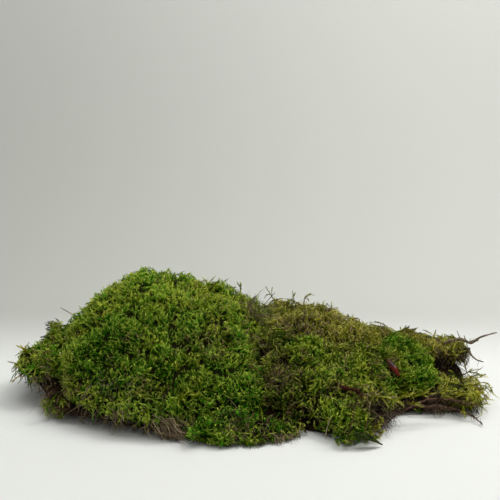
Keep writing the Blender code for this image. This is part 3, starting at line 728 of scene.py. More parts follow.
# The shoots of one cushion, in the given number of pieces
def makeShoots(name, shoots, length, lean, bend, lush, dead, seed, pieces=1, look="green", spread=1.0,
               rise=0.30, least=0.04, share=None, lift=0.0, leafSpeckleAndHighlight=0.22, contrast=1.0, border=None):
    rng = np.random.default_rng(seed)
    habit = shootHabit
    places, normals = placesOn(name, shoots, seed + 50)
    open01 = openness(places, normals)
    kept = (open01 > least) & (normals[:, 2] > habit["steepest"]) & (nearSprig(name, places)[0] > sprigRoom)
    kept &= rng.random(len(places)) > inPatches(places, mossPatches["bare"])
    if share:
        kept &= share(places, normals)
    places, normals, open01 = places[kept], normals[kept], open01[kept]
    count = len(places)
    facing = facingRoom(name, places, normals)
    away, between = cellsOf(places, normals, tuftForm["width"])
    spray, _ = cellsOf(places, normals, tuftForm["sprayWidth"])

    sideways = unit(acrossOf(rng.normal(size=(count, 3)), normals))
    combed = np.stack([patchy(places, habit["combedWidth"], seed + k) for k in (1, 2, 3)], axis=1)
    leaning = lean * np.abs(rng.normal(*habit["leaning"], count))
    ways = unit(normals + sideways * leaning[:, None] + acrossOf(combed, normals) * habit["combed"]
                + away * tuftForm["lean"] + spray * tuftForm["sprayLean"] + np.array((0, 0, rise)))
    inClefts = habit["inClefts"]
    lengths = length * rng.uniform(*habit["length"], count) * (inClefts + (1 - inClefts) * open01) * mm
    bending = unit(acrossOf(rng.normal(size=(count, 3)), ways))
    bends = bending * rng.uniform(*habit["bend"], count)[:, None] + normals * habit["bendOut"]
    bends = bends + np.array((0, 0, -habit["bendDown"])) * rng.random(count)[:, None]
    bends = bends * bend * lengths[:, None]

    out = np.clip(rng.normal(*habit["height"], count) - tuftForm["sink"] * between**2, *habit["heights"])
    proud = rng.random(count) < habit["proudShare"]
    out[proud] += rng.uniform(*habit["proud"], proud.sum())
    swell = habit["swell"] * spread * patchy(places, habit["swellWidth"], seed + 9)
    out += facing * rng.uniform(*habit["intoRoom"], count) + swell + lift
    tips = places + normals * out[:, None] * mm
    low = habit["rootAbove"] * mm
    tips[:, 2] = np.maximum(tips[:, 2], habit["tipAbove"] * mm)
    under = tips[:, 2] - ways[:, 2] * lengths - bends[:, 2] < low
    ways[under, 2] = np.minimum(ways[under, 2], (tips[under, 2] - bends[under, 2] - low) / lengths[under])

    isDead, growth, tints = tonesOf(rng, places, seed, lush, dead, contrast, border)
    values = dict(
        tips=tips, ways=ways, bends=bends, lengths=lengths, growth=growth, tints=tints,
        girths=rng.uniform(*habit["girth"], count) * mm,
        leafLengths=rng.uniform(*habit["leafLength"], count) * np.where(isDead, habit["deadLeaf"], 1.0) * mm,
        leafWidths=rng.uniform(*habit["leafWidth"], count) * mm,
        leafAngles=rng.uniform(*habit["leafAngle"], count),
    )
    order = np.argsort(places[:, 0] + rng.normal(0, 4 * mm, count))
    for part, chosen in enumerate(np.array_split(order, pieces)):
        picked = {key: value[chosen] for key, value in values.items()}
        arrays = shootArrays(shootForm, seed=seed + 100 + part, leafSpeckleAndHighlight=leafSpeckleAndHighlight, **picked)
        label = f"{name}_shoots" + (f"_{part + 1}" if pieces > 1 else "")
        addPiece(label, arrays, moss[look], name)
        print(label, len(chosen), "shoots", len(arrays[1]), "triangles")


for cushionName, cushion in cushions.items():
    makeCore(cushionName)
    makeShoots(cushionName, **cushion)
print("moss done")


# Leafy shoots along given paths: the stray sprigs, with side branches, and creeping and hanging ones.
# Sizes in mm; dead is the share of brown in live and dead ones
sprigLook = dict(leaf=(0.75, 1.2), leafWidth=(0.30, 0.44), leafAngle=(0.5, 0.8), girth=0.2,
                 branchAt=(0.25, 0.8), branch=(0.22, 0.42), branchGirth=0.7, tipAbove=0.9,
                 dead=(0.1, 0.85), lushSpread=0.2, tintSpread=0.12)
creepers = (
    ((50, -44, 13), (54, -44.5, 13), (58, -42, 12)), ((56, -42.5, 12), (61, -42.5, 13), (65, -40, 13)),
    ((62, -40.5, 11), (66, -41, 12.5), (70.5, -38, 13)), ((67, -39, 11), (72, -38.5, 12), (76, -35, 13.5)),
    ((72, -37, 11), (77, -37, 12.5), (82, -34, 12)), ((79, -35, 10), (84, -35.5, 11), (89, -33, 10.5)),
    ((84, -33, 9), (89, -34.5, 9.5), (93, -33, 7.5)), ((40, -50.5, 16), (45, -50.5, 16.4), (50, -47, 14.6)),
    ((45, -48.5, 14), (50, -48, 14.5), (55, -45, 12.5)), ((60, -40, 9), (64, -41.5, 9), (68, -41, 7.5)),
)


# Quadratic bends through the first, middle and last point of a path
def pathBend(points):
    points = np.array(points, float) * mm
    steps = np.append(0, np.cumsum(np.linalg.norm(np.diff(points, axis=0), axis=1)))
    first, middle, last = (np.array([np.interp(at * steps[-1], steps, points[:, k]) for k in range(3)])
                           for at in (0, 0.5, 1))
    run = 4 * (middle - first) - (last - first)
    return last, run, last - first - run


def makeSprigs(name, paths, seed, dead, lush, tint, slot, replaced=None, branches=3, look="pale"):
    rng = np.random.default_rng(seed)
    shoots = []
    for path in paths:
        tip, run, bend = pathBend(path)
        shoots.append((tip, run, bend, 1.0))
        root = tip - run - bend
        span = np.linalg.norm(run + bend)
        for _ in range(branches):
            t = rng.uniform(*sprigLook["branchAt"])
            along = run + 2 * bend * t
            side = np.cross(along, rng.normal(size=3))
            side *= np.linalg.norm(along) / np.linalg.norm(side)
            way = along * 0.55 + side * 0.5
            way *= rng.uniform(*sprigLook["branch"]) * span / np.linalg.norm(way)
            turn = rng.normal(size=3) * 0.12 * span
            shoots.append((root + run * t + bend * t * t + way + turn, way, turn, sprigLook["branchGirth"]))
    tips, runs, bends, sizes = map(np.array, zip(*shoots))
    count = len(tips)
    tips[:, 2] = np.maximum(tips[:, 2], sprigLook["tipAbove"] * mm)
    alive, gone = sprigLook["dead"]
    growth = np.stack((np.where(rng.random(count) < dead, gone, alive),
                       np.clip(lush + rng.normal(0, sprigLook["lushSpread"], count), 0, 1)), axis=1)
    arrays = shootArrays(
        sprigForm, tips, unit(runs), bends, np.linalg.norm(runs, axis=1), sizes * sprigLook["girth"] * mm,
        sizes * rng.uniform(*sprigLook["leaf"], count) * mm,
        sizes * rng.uniform(*sprigLook["leafWidth"], count) * mm,
        rng.uniform(*sprigLook["leafAngle"], count), growth,
        np.clip(tint + rng.normal(0, sprigLook["tintSpread"], count), 0, 1), seed + 1)
    addPiece(name, arrays, moss[look], replaced)


# Paths of short shoots that fan out from about one place, the way they point being given
def clusterPaths(at, way, length, count, width, seed):
    rng = np.random.default_rng(seed)
    paths = []
    for _ in range(count):
        start = np.array(at) + rng.normal(0, width / 3, 3)
        ahead = unit(np.array(way, float) + rng.normal(0, 0.4, 3)) * length * rng.uniform(0.6, 1.1)
        bend = rng.normal(0, 0.15, 3) * length
        path = np.array([start, start + ahead * 0.5 + bend * 0.5, start + ahead])
        path[:, 2] = np.maximum(path[:, 2], 0.7)
        paths.append(path)
    return paths


# For each set: its paths, seed, share of dead shoots, how fresh and how light they are, and its slot
sprigSets = dict(
    left_sprigs=dict(paths=sprigsOf("moss_left_tuft"), seed=61, dead=0.3, lush=0.1, tint=0.85,
                     slot="moss_left_tuft"),
    crest_sprigs=dict(paths=sprigsOf("moss_mound", "moss_rear_mat"), seed=62, dead=0.2, lush=0.2, tint=0.35,
                      slot="moss_rear_mat"),
    end_sprigs=dict(paths=sprigsOf("moss_end_tuft"), seed=63, dead=0.15, lush=0.3, tint=0.5,
                    slot="moss_end_tuft"),
    creeping_shoots=dict(paths=creepers, seed=64, dead=0.1, lush=0.25, tint=0.45, slot="moss_front_mat"),
    left_foot_tuft=dict(paths=clusterPaths((-77, -32, 8), (-0.15, -0.45, -0.8), 8, 18, 6, 5), seed=65,
                        dead=0.2, lush=0.4, tint=0.5, slot="moss_left_tuft", branches=2, look="green"),
    leaf_foot_tuft=dict(paths=clusterPaths((34, -61, 2.5), (0.2, -0.7, 0.1), 5, 14, 5, 6), seed=66,
                        dead=0.1, lush=0.5, tint=0.45, slot="moss_front_mat", branches=2, look="green"),
    hollow_foot_tuft=dict(paths=clusterPaths((46, -54, 2.5), (0.3, -0.7, 0.2), 4.5, 13, 5, 8), seed=67,
                          dead=0.1, lush=0.6, tint=0.45, slot="moss_front_mat", branches=2),
)
for setName, sprigSet in sprigSets.items():
    makeSprigs(setName, **sprigSet)
print("sprigs done")


# A fibrous material between two colours, with bumps in mm
def fibreMaterial(name, dark, light, roughness, scale, bumpDepth=0.3, gloss=0.1):
    made, tree, shader = newMaterial(name)
    grain = placeNoise(tree, scale, 4, roughness=0.65)
    wide = placeNoise(tree, scale / 6, 2)
    share = sums(tree, "ADD", sums(tree, "MULTIPLY", grain, 0.65), sums(tree, "MULTIPLY", wide, 0.35))
    base = mixColours(tree, rangeOf(tree, share, 0.36, 0.62), colour(dark), colour(light))
    rough = rangeOf(tree, grain, 0.3, 0.7, roughness + 0.08, roughness - 0.08)
    surface(tree, shader, base, rough, gloss, height=grain, strength=0.6, depth=bumpDepth)
    return made


debrisMaterials = dict(
    bark=fibreMaterial("twig_bark", (0.045, 0.030, 0.020), (0.26, 0.19, 0.12), 0.75, 900, gloss=0.15),
    root=fibreMaterial("root_skin", (0.020, 0.010, 0.008), (0.14, 0.075, 0.045), 0.75, 900),
    straw=fibreMaterial("dry_straw", (0.10, 0.08, 0.05), (0.42, 0.35, 0.22), 0.65, 700),
    red=fibreMaterial("red_stem", (0.012, 0.004, 0.003), (0.066, 0.016, 0.010), 0.8, 1100, gloss=0.04),
    bud=fibreMaterial("bud_gloss", (0.010, 0.002, 0.001), (0.120, 0.013, 0.006), 0.22, 420, bumpDepth=0.14),
    leaf=fibreMaterial("leaf_blade", (0.003, 0.007, 0.001), (0.040, 0.060, 0.006), 0.6, 700,
                       bumpDepth=0.12, gloss=0.02),
)
thatchMaterial = fibreMaterial("thatch_felt", (0.006, 0.004, 0.003), (0.048, 0.029, 0.018), 0.95, 480,
                               bumpDepth=0.8, gloss=0.03)

# What is caught in the moss: points in mm as in the part's source, thickness at start, middle and
# end, material, slot, how rough, crooked and knotty it is, and how many fine stems it bears
anyTwig = dict(finish="bark", slot="bark")
anyRoot = dict(finish="root", slot="root", rough=0.3, crook=0.9)
strands = dict(
    twig_stem=dict(
        points=((84, 10, 17), (88.4, 9.6, 19), (92.4, 9.2, 18.8), (94.9, 8.8, 17.4), (98.6, 8.2, 19.8),
                (101.8, 7.8, 21.6), (106, 7.4, 22.6)),
        thickness=(1.1, 1.2, 0.5), rough=0.18, crook=0.35, knots=5, twigs=5, **anyTwig),
    twig_fork=dict(
        points=((94.6, 8, 16.3), (94.5, 7.2, 15.2), (94.9, 6, 13.8), (97.4, 5, 11.8), (100.3, 4.5, 11.1)),
        thickness=(0.9, 0.8, 0.4), rough=0.15, crook=0.25, knots=2, twigs=2, **anyTwig),
    root_long=dict(
        points=((64.5, -31, 4.2), (71, -32, 4.2), (77, -33, 3.8), (83, -34, 3.2), (87.5, -36.5, 2.4),
                (89.8, -40, 1.4), (91, -44, 0.8)),
        thickness=(0.9, 0.85, 0.4), knots=5, twigs=34, **anyRoot),
    root_short=dict(
        points=((76.5, -33, 7), (82, -35, 6.2), (87, -35.4, 5.4), (91.5, -34.6, 5)),
        thickness=(0.75, 0.7, 0.35), knots=4, twigs=26, **anyRoot),
    stem_hollow_lower=dict(
        points=((53.6, -45, 1.8), (57, -43, 3.6), (60.3, -41, 5.3), (64, -40, 7), (68.4, -39, 8.4),
                (74, -38, 9.3)),
        thickness=(0.55, 0.6, 0.4), knots=4, twigs=34, **anyRoot),
    red_twig=dict(
        points=((34.6, -47, 19), (39, -48, 18.1), (43.8, -48.5, 16)),
        thickness=(1.0, 1.3, 0.5), finish="red", slot="red", rough=0.45, crook=0.8, knots=7, twigs=8),
    straw_left=dict(
        points=((-77, 8, 34), (-80.4, 6.6, 36.6), (-82.6, 6, 38)),
        thickness=(0.3, 0.4, 0.2), finish="straw", slot="straw", rough=0.1, crook=0.2, knots=1, twigs=0),
    stem_front_bare=dict(
        points=((36.9, -65, 4), (37.6, -65, 8.4), (39, -64, 12.8), (39.6, -62.6, 16)),
        thickness=(0.35, 0.4, 0.25), finish="root", slot="straw", rough=0.2, crook=1.1, knots=3, twigs=6),
)
# The fine stems on them: how far they follow the strand and hang, their length in mm, how much they
# bend, and their girth as a share of the strand's
twigHabit = dict(follow=(0.1, 0.9), hang=0.2, length=(1.0, 3.2), bend=0.3, girth=0.35)
looseStems = (
    dict(points=((28.2, -63.6, 3.2), (28.4, -64.4, 6), (29.2, -64.2, 9), (30, -63, 12)),
         thickness=(0.3, 0.4, 0.25), rough=0.2, crook=0.5, knots=2),
    dict(points=((44.6, -47, 3.4), (45.4, -49, 6.4), (46.2, -49.6, 9.4), (46.4, -48, 12)),
         thickness=(0.4, 0.5, 0.35), rough=0.2, crook=0.6, knots=2),
    dict(points=((40.4, -50, 7), (41, -51.4, 9.4), (41.2, -51, 11.6)),
         thickness=(0.4, 0.5, 0.35), rough=0.2, crook=0.4, knots=2),
)
leafyStrands = dict(
    hanging_shoot=((84.4, -35.2, 6.4), (84.8, -36.8, 4.6), (85, -38, 2.6), (85.2, -38.6, 1.2)),
    stem_hollow_upper=((50.6, -42, 12), (54.9, -40, 11), (58.3, -38, 9), (60.9, -37, 6.4)),
)


# How far a node was pushed from its own points when it was set down, in mm
def pushedBy(name, points):
    low, high = (np.array(corner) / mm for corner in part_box(name))
    points = np.array(points, float)
    return (low + high) / 2 - (points.min(0) + points.max(0)) / 2


# Even places of a grid on the flat map
def gridMap(rows, columns, across, up):
    grid = np.meshgrid(np.linspace(*across, rows), np.linspace(*up, columns), indexing="ij")
    return np.stack(grid, axis=-1).reshape(-1, 2)


# Points in mm with their triangles and flat map as one set of arrays, kept off the ground
def detailArrays(points, faces, uv):
    points = points * mm
    points[:, 2] = np.maximum(points[:, 2], ground["details"] * mm)
    return points, np.array(faces), uv, np.tile((1.0, 1.0, 0.0), (len(points), 1)), np.full(len(points), 0.5)


# A tube of rows of points, seamed where each row begins and ends, closed by a point at either end
def tubeDetail(wall, ends):
    rows, wide = wall.shape[:2]
    first, last = rows * wide, rows * wide + 1
    faces = []
    for row in range(rows - 1):
        for p in range(row * wide, row * wide + wide - 1):
            faces += [(p, p + 1, p + wide + 1), (p, p + wide + 1, p + wide)]
    faces += [(s + 1, s, first) for s in range(wide - 1)]
    faces += [(first - wide + s, first - wide + s + 1, last) for s in range(wide - 1)]
    uv = np.concatenate((gridMap(rows, wide, (0.03, 0.97), (0.03, 0.97)), ((0.0, 0.5), (1.0, 0.5))))
    return detailArrays(np.concatenate((wall.reshape(-1, 3), ends)), faces, uv)


# A crooked tube along points with knots, closed at both ends, with its middle line, radius and ways
def tubeArrays(points, thickness, rough, crook, knots, seed, sides=8, perStep=7):
    rng = np.random.default_rng(seed)
    points = np.array(points, float)
    count = (len(points) - 1) * perStep + 1
    at = np.linspace(0, len(points) - 1, count)
    line = np.stack([np.interp(at, np.arange(len(points)), points[:, k]) for k in range(3)], axis=1)
    for _ in range(6):
        line[1:-1] = (line[:-2] + 2 * line[1:-1] + line[2:]) / 4
    t = np.linspace(0, 1, count)
    inside = np.minimum(1, np.minimum(t, 1 - t) * 8)[:, None]
    shake = np.array([noise.noise_vector(Vector(p) / 2.6 + Vector((seed, 0, 0))) for p in line])
    line = line + shake * crook * inside
    radius = np.interp(t, (0, 0.5, 1), thickness) / 2
    radius *= 1 + rough * np.array([noise.noise(Vector(p) * 1.1 + Vector((0, seed, 0))) for p in line]) * 1.6
    for _ in range(knots):
        radius *= 1 + rng.uniform(0.25, 0.6) * np.exp(-((t - rng.uniform(0.05, 0.95)) * 45) ** 2)
    along = unit(np.gradient(line, axis=0))
    side = unit(np.cross(along, (0.2, 0.3, 1)))
    other = np.cross(along, side)
    turn = np.linspace(0, 2 * math.pi, sides + 1)
    grain = 1 + rough * rng.normal(0, 0.35, (count, sides + 1))
    grain[:, -1] = grain[:, 0]
    wheel = side[:, None] * np.cos(turn)[:, None] + other[:, None] * np.sin(turn)[:, None]
    wall = line[:, None] + wheel * (radius[:, None] * grain)[..., None]
    ends = np.stack((line[0] - along[0] * radius[0] * 0.6, line[-1] + along[-1] * radius[-1] * 0.8))
    return tubeDetail(wall, ends), line, radius, along


def makeStrand(name, points, thickness, finish, slot, rough, crook, knots, twigs, seed):
    rng = np.random.default_rng(seed)
    moved = points + pushedBy(name, points)
    tube, line, radius, along = tubeArrays(moved, thickness, rough, crook, knots, seed)
    sets = [tube]
    if twigs:
        spots = rng.integers(len(line) // 12, len(line) - 2, twigs)
        side = unit(np.cross(along[spots], rng.normal(size=(twigs, 3))))
        follow = rng.uniform(*twigHabit["follow"], (twigs, 1))
        ways = unit(side + along[spots] * follow + np.array((0, 0, -twigHabit["hang"])))
        lengths = rng.uniform(*twigHabit["length"], twigs) * mm
        bends = rng.normal(0, twigHabit["bend"], (twigs, 3)) * lengths[:, None]
        girths = radius[spots] * twigHabit["girth"] * mm
        sets.append(stemArrays(line[spots] * mm, ways, bends, lengths, girths, np.full(twigs, 0.5), seed + 1))
    addPiece(name + "_detail", joined(sets), debrisMaterials[finish], name)


for index, (strandName, strand) in enumerate(strands.items()):
    makeStrand(strandName, seed=71 + index, **strand)
loose = [tubeArrays(seed=95 + k, sides=6, **stem)[0] for k, stem in enumerate(looseStems)]
addPiece("loose_stems", joined(loose), debrisMaterials["straw"])
for strandName, points in leafyStrands.items():
    makeSprigs(strandName + "_leafy", [points + pushedBy(strandName, points)], 91, 0.0, 0.6, 0.45,
               "moss_leaf", strandName, branches=2)


# The bud scale: a glossy spindle with fine ribs, split open near its lower end
budForm = dict(top=(55.4, -24, 22), bottom=(60.0, -29, 16), width=3.6, thickness=1.9, ribs=7, ribDepth=0.14,
               twist=2.2, groove=0.20, grooveAt=4.4, grooveFrom=0.35, steps=28, sides=36)


def makeBud():
    top, bottom = (np.array(budForm[key], float) for key in ("top", "bottom"))
    shift = pushedBy("bud_scale", (top, bottom))
    along = bottom - top
    side = unit(np.cross(along, (0, 0, 1)))
    other = unit(np.cross(side, along))
    t = np.linspace(0.02, 0.98, budForm["steps"])[:, None]
    turn = np.linspace(2 * math.pi, 0, budForm["sides"] + 1)
    spindle = np.sin(math.pi * t ** 1.15) ** 0.75
    rib = 1 - budForm["ribDepth"] * (0.5 + 0.5 * np.cos(budForm["ribs"] * turn + budForm["twist"] * t))
    split = np.clip((t - budForm["grooveFrom"]) * 3, 0, 1)
    groove = 1 - budForm["groove"] * np.exp(-((turn - budForm["grooveAt"]) * 4) ** 2) * split
    across = np.cos(turn) * budForm["width"] / 2 * spindle * rib * groove
    upward = np.sin(turn) * budForm["thickness"] / 2 * spindle * rib * groove
    line = top + shift + along * t
    wall = line[:, None] + side * across[..., None] + other * upward[..., None]
    arrays = tubeDetail(wall, np.stack((top + shift, bottom + shift)))
    addPiece("bud_scale_detail", arrays, debrisMaterials["bud"], "bud_scale")


makeBud()

# The pointed leaf: a thin folded blade with a raised midrib and a slightly torn edge
leafForm = dict(base=(38.4, -67, 4.6), tip=(49.6, -66.5, 0.7), width=4.8, thickness=0.42, fold=1.2, rib=0.22,
                ribWidth=0.10, arch=0.4, torn=0.10, steps=34, columns=13)


def makeLeaf():
    base, tip = (np.array(leafForm[key], float) for key in ("base", "tip"))
    along = tip - base
    side = unit(np.cross(along, (0, 0, 1)))
    upward = unit(np.cross(side, along))
    steps, columns = leafForm["steps"], leafForm["columns"]
    t = np.linspace(0, 1, steps)[:, None]
    across = np.linspace(-1, 1, columns)[None]
    torn = np.array([[noise.noise(Vector((a * 6, b * 3, 5))) for b in (-1, 1)] for a in t.ravel()])
    edge = 1 + leafForm["torn"] * np.where(across < 0, torn[:, :1], torn[:, 1:])
    outline = (0.12 + 0.88 * np.sin(math.pi * (0.12 + 0.86 * t) ** 0.8) ** 0.9) * (1 - t ** 6)
    half = np.maximum(leafForm["width"] / 2 * outline * edge, 0.12)
    lift = np.abs(across) * leafForm["fold"] * half / leafForm["width"] * 2
    lift = lift + leafForm["arch"] * np.sin(math.pi * t)
    thick = leafForm["thickness"] / 2 * (1 - across ** 2 * 0.85)
    rib = leafForm["rib"] * np.exp(-(across / leafForm["ribWidth"]) ** 2) * (1 - 0.7 * t)
    middle = base + along * t[..., None] + side * (across * half)[..., None] + upward * lift[..., None]
    raised = upward * (thick + rib)[..., None]
    points = np.concatenate(((middle + raised).reshape(-1, 3), (middle - raised).reshape(-1, 3)))
    points += pushedBy("pointed_leaf", points)

    # two faces, then the rim along both sides, and at the base and the tip
    below = steps * columns
    faces = []
    for row in range(steps - 1):
        for p in range(row * columns, row * columns + columns - 1):
            q = p + below
            faces += [(p, p + columns, p + columns + 1), (p, p + columns + 1, p + 1)]
            faces += [(q, q + columns + 1, q + columns), (q, q + 1, q + columns + 1)]
    rims = [(row * columns, columns, False) for row in range(steps - 1)]
    rims += [(row * columns + columns - 1, columns, True) for row in range(steps - 1)]
    rims += [(s, 1, True) for s in range(columns - 1)]
    rims += [((steps - 1) * columns + s, 1, False) for s in range(columns - 1)]
    for p, step, flip in rims:
        q = p + below
        ring = [(p, q, q + step), (p, q + step, p + step)]
        faces += [face[::-1] if flip else face for face in ring]
    grid = gridMap(steps, columns, (0.02, 0.98), (0.02, 0.48))
    arrays = detailArrays(points, faces, np.concatenate((grid, grid + (0, 0.5))))
    addPiece("pointed_leaf_detail", arrays, debrisMaterials["leaf"], "pointed_leaf")


makeLeaf()
print("debris done")


# The thatch: a torn, matted felt with a rough surface, flat only where it lies on the ground
thatchForm = dict(rough=1.1, roughWidth=3.0, fine=0.45, fineWidth=1.1, deepest=1.6, flatTo=0.05,
                  smooth=0.4, smoothFrom=0.3)


def makeThatch():
    shape = shapeOf("thatch")
    for _ in range(2):
        bmesh.ops.subdivide_edges(shape, edges=shape.edges, cuts=1, use_grid_fill=True)
        smoothed = [v for v in shape.verts if v.co.z > thatchForm["smoothFrom"] * mm]
        bmesh.ops.smooth_vert(shape, verts=smoothed, factor=thatchForm["smooth"],
                              use_axis_x=True, use_axis_y=True, use_axis_z=True)
    shape.normal_update()
    for vertex in shape.verts:
        depth = 0
        for key in ("rough", "fine"):
            swell = 0.5 + 0.5 * noise.noise(vertex.co / (thatchForm[key + "Width"] * mm))
            depth += swell * thatchForm[key]
        if vertex.co.z >= thatchForm["flatTo"] * mm:
            vertex.co -= vertex.normal * (min(depth, thatchForm["deepest"]) * mm)
        vertex.co.z = max(vertex.co.z, 0)
    bmesh.ops.triangulate(shape, faces=shape.faces)
    piece = objectFrom(shape, "thatch_felt", thatchMaterial)
    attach(piece, "root")
    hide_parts("thatch")


makeThatch()


# Dead stems that hang and stick out of the thatch: the nodes they grow from, middle and radius of
# their patch in mm, the way they point, how much they spread, their length, number and paleness, and
# where it differs from the others how mixed the paleness is and how bent they are
stemBundles = dict(
    leftHang=dict(on=("thatch",), at=(-78, -28, 9), radius=15, way=(0.1, -0.35, -1), spread=0.5,
                  length=6.0, count=300, pale=0.6),
    leftUnder=dict(on=("moss_left_tuft",), at=(-86, -18, 11), radius=12, way=(0.1, -0.4, -1), spread=0.45,
                   length=5, count=110, pale=0.4),
    leftRim=dict(on=("thatch", "moss_mound"), at=(-56, -44, 6), radius=24, way=(-0.1, -0.8, -0.5), spread=0.6,
                 length=4.5, count=300, pale=0.4),
    fan=dict(on=("thatch", "moss_mound", "moss_front_fringe"), at=(-33, -55, 2.5), radius=10,
             way=(0.8, -0.35, -0.5), spread=0.12, length=8.0, count=190, pale=0.62, mixed=0.36, bent=0.14),
    midRim=dict(on=("moss_front_fringe",), at=(-2, -64, 3), radius=17, way=(0.1, -0.9, -0.4), spread=0.6,
                length=4.5, count=110, pale=0.45),
    greyRim=dict(on=("moss_front_fringe",), at=(14, -64, 1), radius=9, way=(0.3, -0.9, -0.2), spread=0.6,
                 length=3.6, count=45, pale=0.8),
    tornFace=dict(on=("thatch",), at=(84, 7, 9), radius=14, way=(0.2, -0.8, -0.5), spread=0.55,
                  length=3.8, count=380, pale=0.0),
    flapCurtain=dict(on=("moss_rear_flap",), at=(86, 4, 12), radius=14, way=(0.2, -0.4, -1), spread=0.4,
                     length=4.2, count=240, pale=0.04),
    hollow=dict(on=("thatch", "moss_front_mat"), at=(52, -45, 6), radius=12, way=(0.2, -0.7, -0.1),
                spread=0.8, length=5.5, count=400, pale=0.12),
    backRim=dict(on=("thatch",), at=(-10, 40, 4), radius=100, way=(0, 0.7, -0.5), spread=0.8,
                 length=5, count=600, pale=0.35),
    endUnder=dict(on=("thatch",), at=(80, -28, 4), radius=15, way=(0.6, -0.6, -0.2), spread=0.6,
                  length=6.5, count=300, pale=0.2),
    plum=dict(on=("moss_front_mat",), at=(13, -36, 17), radius=12, way=(0, -0.6, 0.6), spread=0.9,
              length=4.5, count=80, pale=0.15),
    gap=dict(on=("moss_mound",), at=(2, 8, 33), radius=9, way=(0.7, -0.2, 0.5), spread=0.5,
             length=7, count=110, pale=0.4),
)
# What they share: places to a square mm, where a patch's edge frays, the steepest place against their
# way, how far they follow their place's normal, sag, and are rooted under the surface in mm
stemHabit = dict(perSquareMm=3.0, edge=(0.4, 1), against=-0.35, above=0.4, outward=0.5, lengths=(0.45, 1.4),
                 bent=0.3, sag=0.2, girth=(0.07, 0.19), mixed=0.24, rooted=1.2)
stemLook = {
    "Fresh": (0.1, 0.1, 0.02), "Olive": (0.15, 0.12, 0.03), "Tip": (0.3, 0.25, 0.1),
    "Dead": (0.030, 0.015, 0.010), "Dead Tip": (0.66, 0.51, 0.31), "Foot": (0.02, 0.012, 0.008),
    "Shade": (1, 1, 1), "Light": (1, 1, 1), "tipShare": 0.0, "gloss": 0.1,
}


def makeStems():
    sets = []
    for index, (label, bundle) in enumerate(stemBundles.items()):
        rng = np.random.default_rng(200 + index)
        own = {**stemHabit, **bundle}
        found = [placesOn(node, own["perSquareMm"], 200 + index) for node in own["on"]]
        places, normals = (np.concatenate(parts) for parts in zip(*found))
        way = unit(np.array(own["way"], float))
        away = np.linalg.norm(places / mm - own["at"], axis=1)
        near = away < own["radius"] * rng.uniform(*own["edge"], len(places))
        near &= (normals @ way > own["against"]) & (places[:, 2] > own["above"] * mm)
        chosen = rng.permutation(np.flatnonzero(near))[:own["count"]]
        count = len(chosen)
        ways = unit(way + rng.normal(0, own["spread"], (count, 3)) + normals[chosen] * own["outward"])
        lengths = own["length"] * rng.uniform(*own["lengths"], count) * mm
        bends = (rng.normal(0, own["bent"], (count, 3)) + np.array((0, 0, -own["sag"]))) * lengths[:, None]
        girths = rng.uniform(*own["girth"], count) * mm
        pale = np.clip(rng.normal(own["pale"], own["mixed"], count), 0, 1)
        roots = places[chosen] - normals[chosen] * own["rooted"] * mm
        sets.append(stemArrays(roots, ways, bends, lengths, girths, pale, 300 + index))
        print(label, count, "stems")
    arrays = joined(sets)
    addPiece("dead_stems", arrays, mossMaterial("dead_stems", stemLook))
    print("dead_stems", len(arrays[1]), "triangles")


makeStems()


# Sparse moss on the thatch, only where it can be seen past the cushions
def onRim(places, normals):
    return (places[:, 2] > 1.2 * mm) & (normals[:, 2] > -0.5)


makeShoots("thatch", shoots=0.17, length=5.0, lean=1.3, bend=0.5, lush=0.1, dead=0.7, seed=31, rise=-0.25,
           least=0.25, share=onRim)
print("thatch done")


# Floor and backdrop: one pale sweep, in metres, with painted light and shade: lighter on its floor and
# towards the right, darker low on its wall and towards the left. It is clear from behind
sweepForm = dict(front=-6.0, turn=0.16, radius=0.42, top=1.9, halfWidth=6.0, steps=16)
sweepLook = dict(
    leftToRight=(-0.26, 0.16), floorToWall=(0.015, 0.13), lowToHigh=(0.02, 0.32),
    floor=((0.745, 0.755, 0.74), (0.825, 0.835, 0.82)),
    low=((0.42, 0.43, 0.40), (0.56, 0.57, 0.54)),
    high=((0.585, 0.60, 0.565), (0.745, 0.76, 0.72)),
)


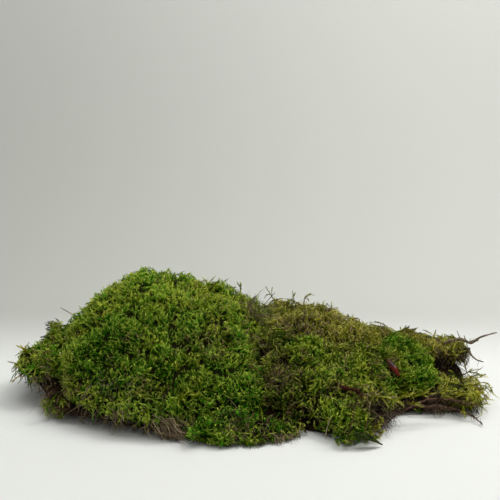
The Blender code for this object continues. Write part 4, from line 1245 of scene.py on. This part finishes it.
def sweepMaterial():
    made, tree, shader = newMaterial("pale_card_painted_light_and_shade")
    grain = placeNoise(tree, 900, 2)
    place = addNode(tree, "ShaderNodeTexCoord").outputs["Object"]
    x, y, z = addNode(tree, "ShaderNodeSeparateXYZ", i0=place).outputs
    # Painted light and shade: the pale card lighter to the right and on the floor, darker to the left and low
    # on the wall
    rightward = rangeOf(tree, x, *sweepLook["leftToRight"])
    floor, low, high = (mixColours(tree, rightward, *map(colour, sweepLook[key]))
                        for key in ("floor", "low", "high"))
    wall = mixColours(tree, rangeOf(tree, z, *sweepLook["lowToHigh"]), low, high)
    paperPaintedLightAndShade = mixColours(tree, rangeOf(tree, y, *sweepLook["floorToWall"]), floor, wall)
    speck = mixColours(tree, grain, colour((0.98, 0.98, 0.98)), colour((1.0, 1.0, 1.0)))
    surface(tree, shader, mixColours(tree, 1.0, paperPaintedLightAndShade, speck, "MULTIPLY"), 0.85, 0.1)
    behind = addNode(tree, "ShaderNodeNewGeometry").outputs["Backfacing"]
    feed(tree, shader.inputs["Alpha"], sums(tree, "SUBTRACT", 1.0, behind))
    return made


def makeSweep():
    turn, radius, width = (sweepForm[key] for key in ("turn", "radius", "halfWidth"))
    profile = [(sweepForm["front"], 0.0), (-0.4, 0.0), (turn, 0.0)]
    for k in range(sweepForm["steps"]):
        angle = (k + 1) / sweepForm["steps"] * math.pi / 2
        profile.append((turn + radius * math.sin(angle), radius * (1 - math.cos(angle))))
    profile.append((turn + radius, sweepForm["top"]))
    shape = bmesh.new()
    rows = [[shape.verts.new((x, y, z)) for x in (-width, width)] for y, z in profile]
    for low, high in zip(rows, rows[1:]):
        shape.faces.new((low[0], low[1], high[1], high[0]))
    sweep = objectFrom(shape, "sweep", sweepMaterial())


makeSweep()


# Soft studio light, places and sizes in metres, all aimed at one point in the clump
lights = dict(
    key=dict(at=(0.65, 0.45, 1.0), size=0.6, power=10.5, colour=(1.0, 0.99, 0.96)),
    top=dict(at=(0.0, 0.15, 1.3), size=1.0, power=6.6, colour=(1.0, 1.0, 0.98)),
    front=dict(at=(0.35, -1.3, 0.9), size=0.9, power=1.5, colour=(1.0, 1.0, 1.0)),
)
room = dict(aim=(0, 0, 0.02), colour=(1.0, 1.0, 0.985), strength=0.36)
for lightName, look in lights.items():
    lamp = bpy.data.lights.new(lightName, "AREA")
    lamp.size = look["size"]
    lamp.energy = look["power"]
    lamp.color = look["colour"]
    holder = addObject(lightName, lamp)
    holder.location = look["at"]
    holder.rotation_euler = (Vector(room["aim"]) - Vector(look["at"])).to_track_quat("-Z", "Y").to_euler()
world = bpy.data.worlds.new("room")
bpy.context.scene.world = world
world.use_nodes = True
background = world.node_tree.nodes["Background"].inputs
background["Color"].default_value = colour(room["colour"])
background["Strength"].default_value = room["strength"]
print("stage done")
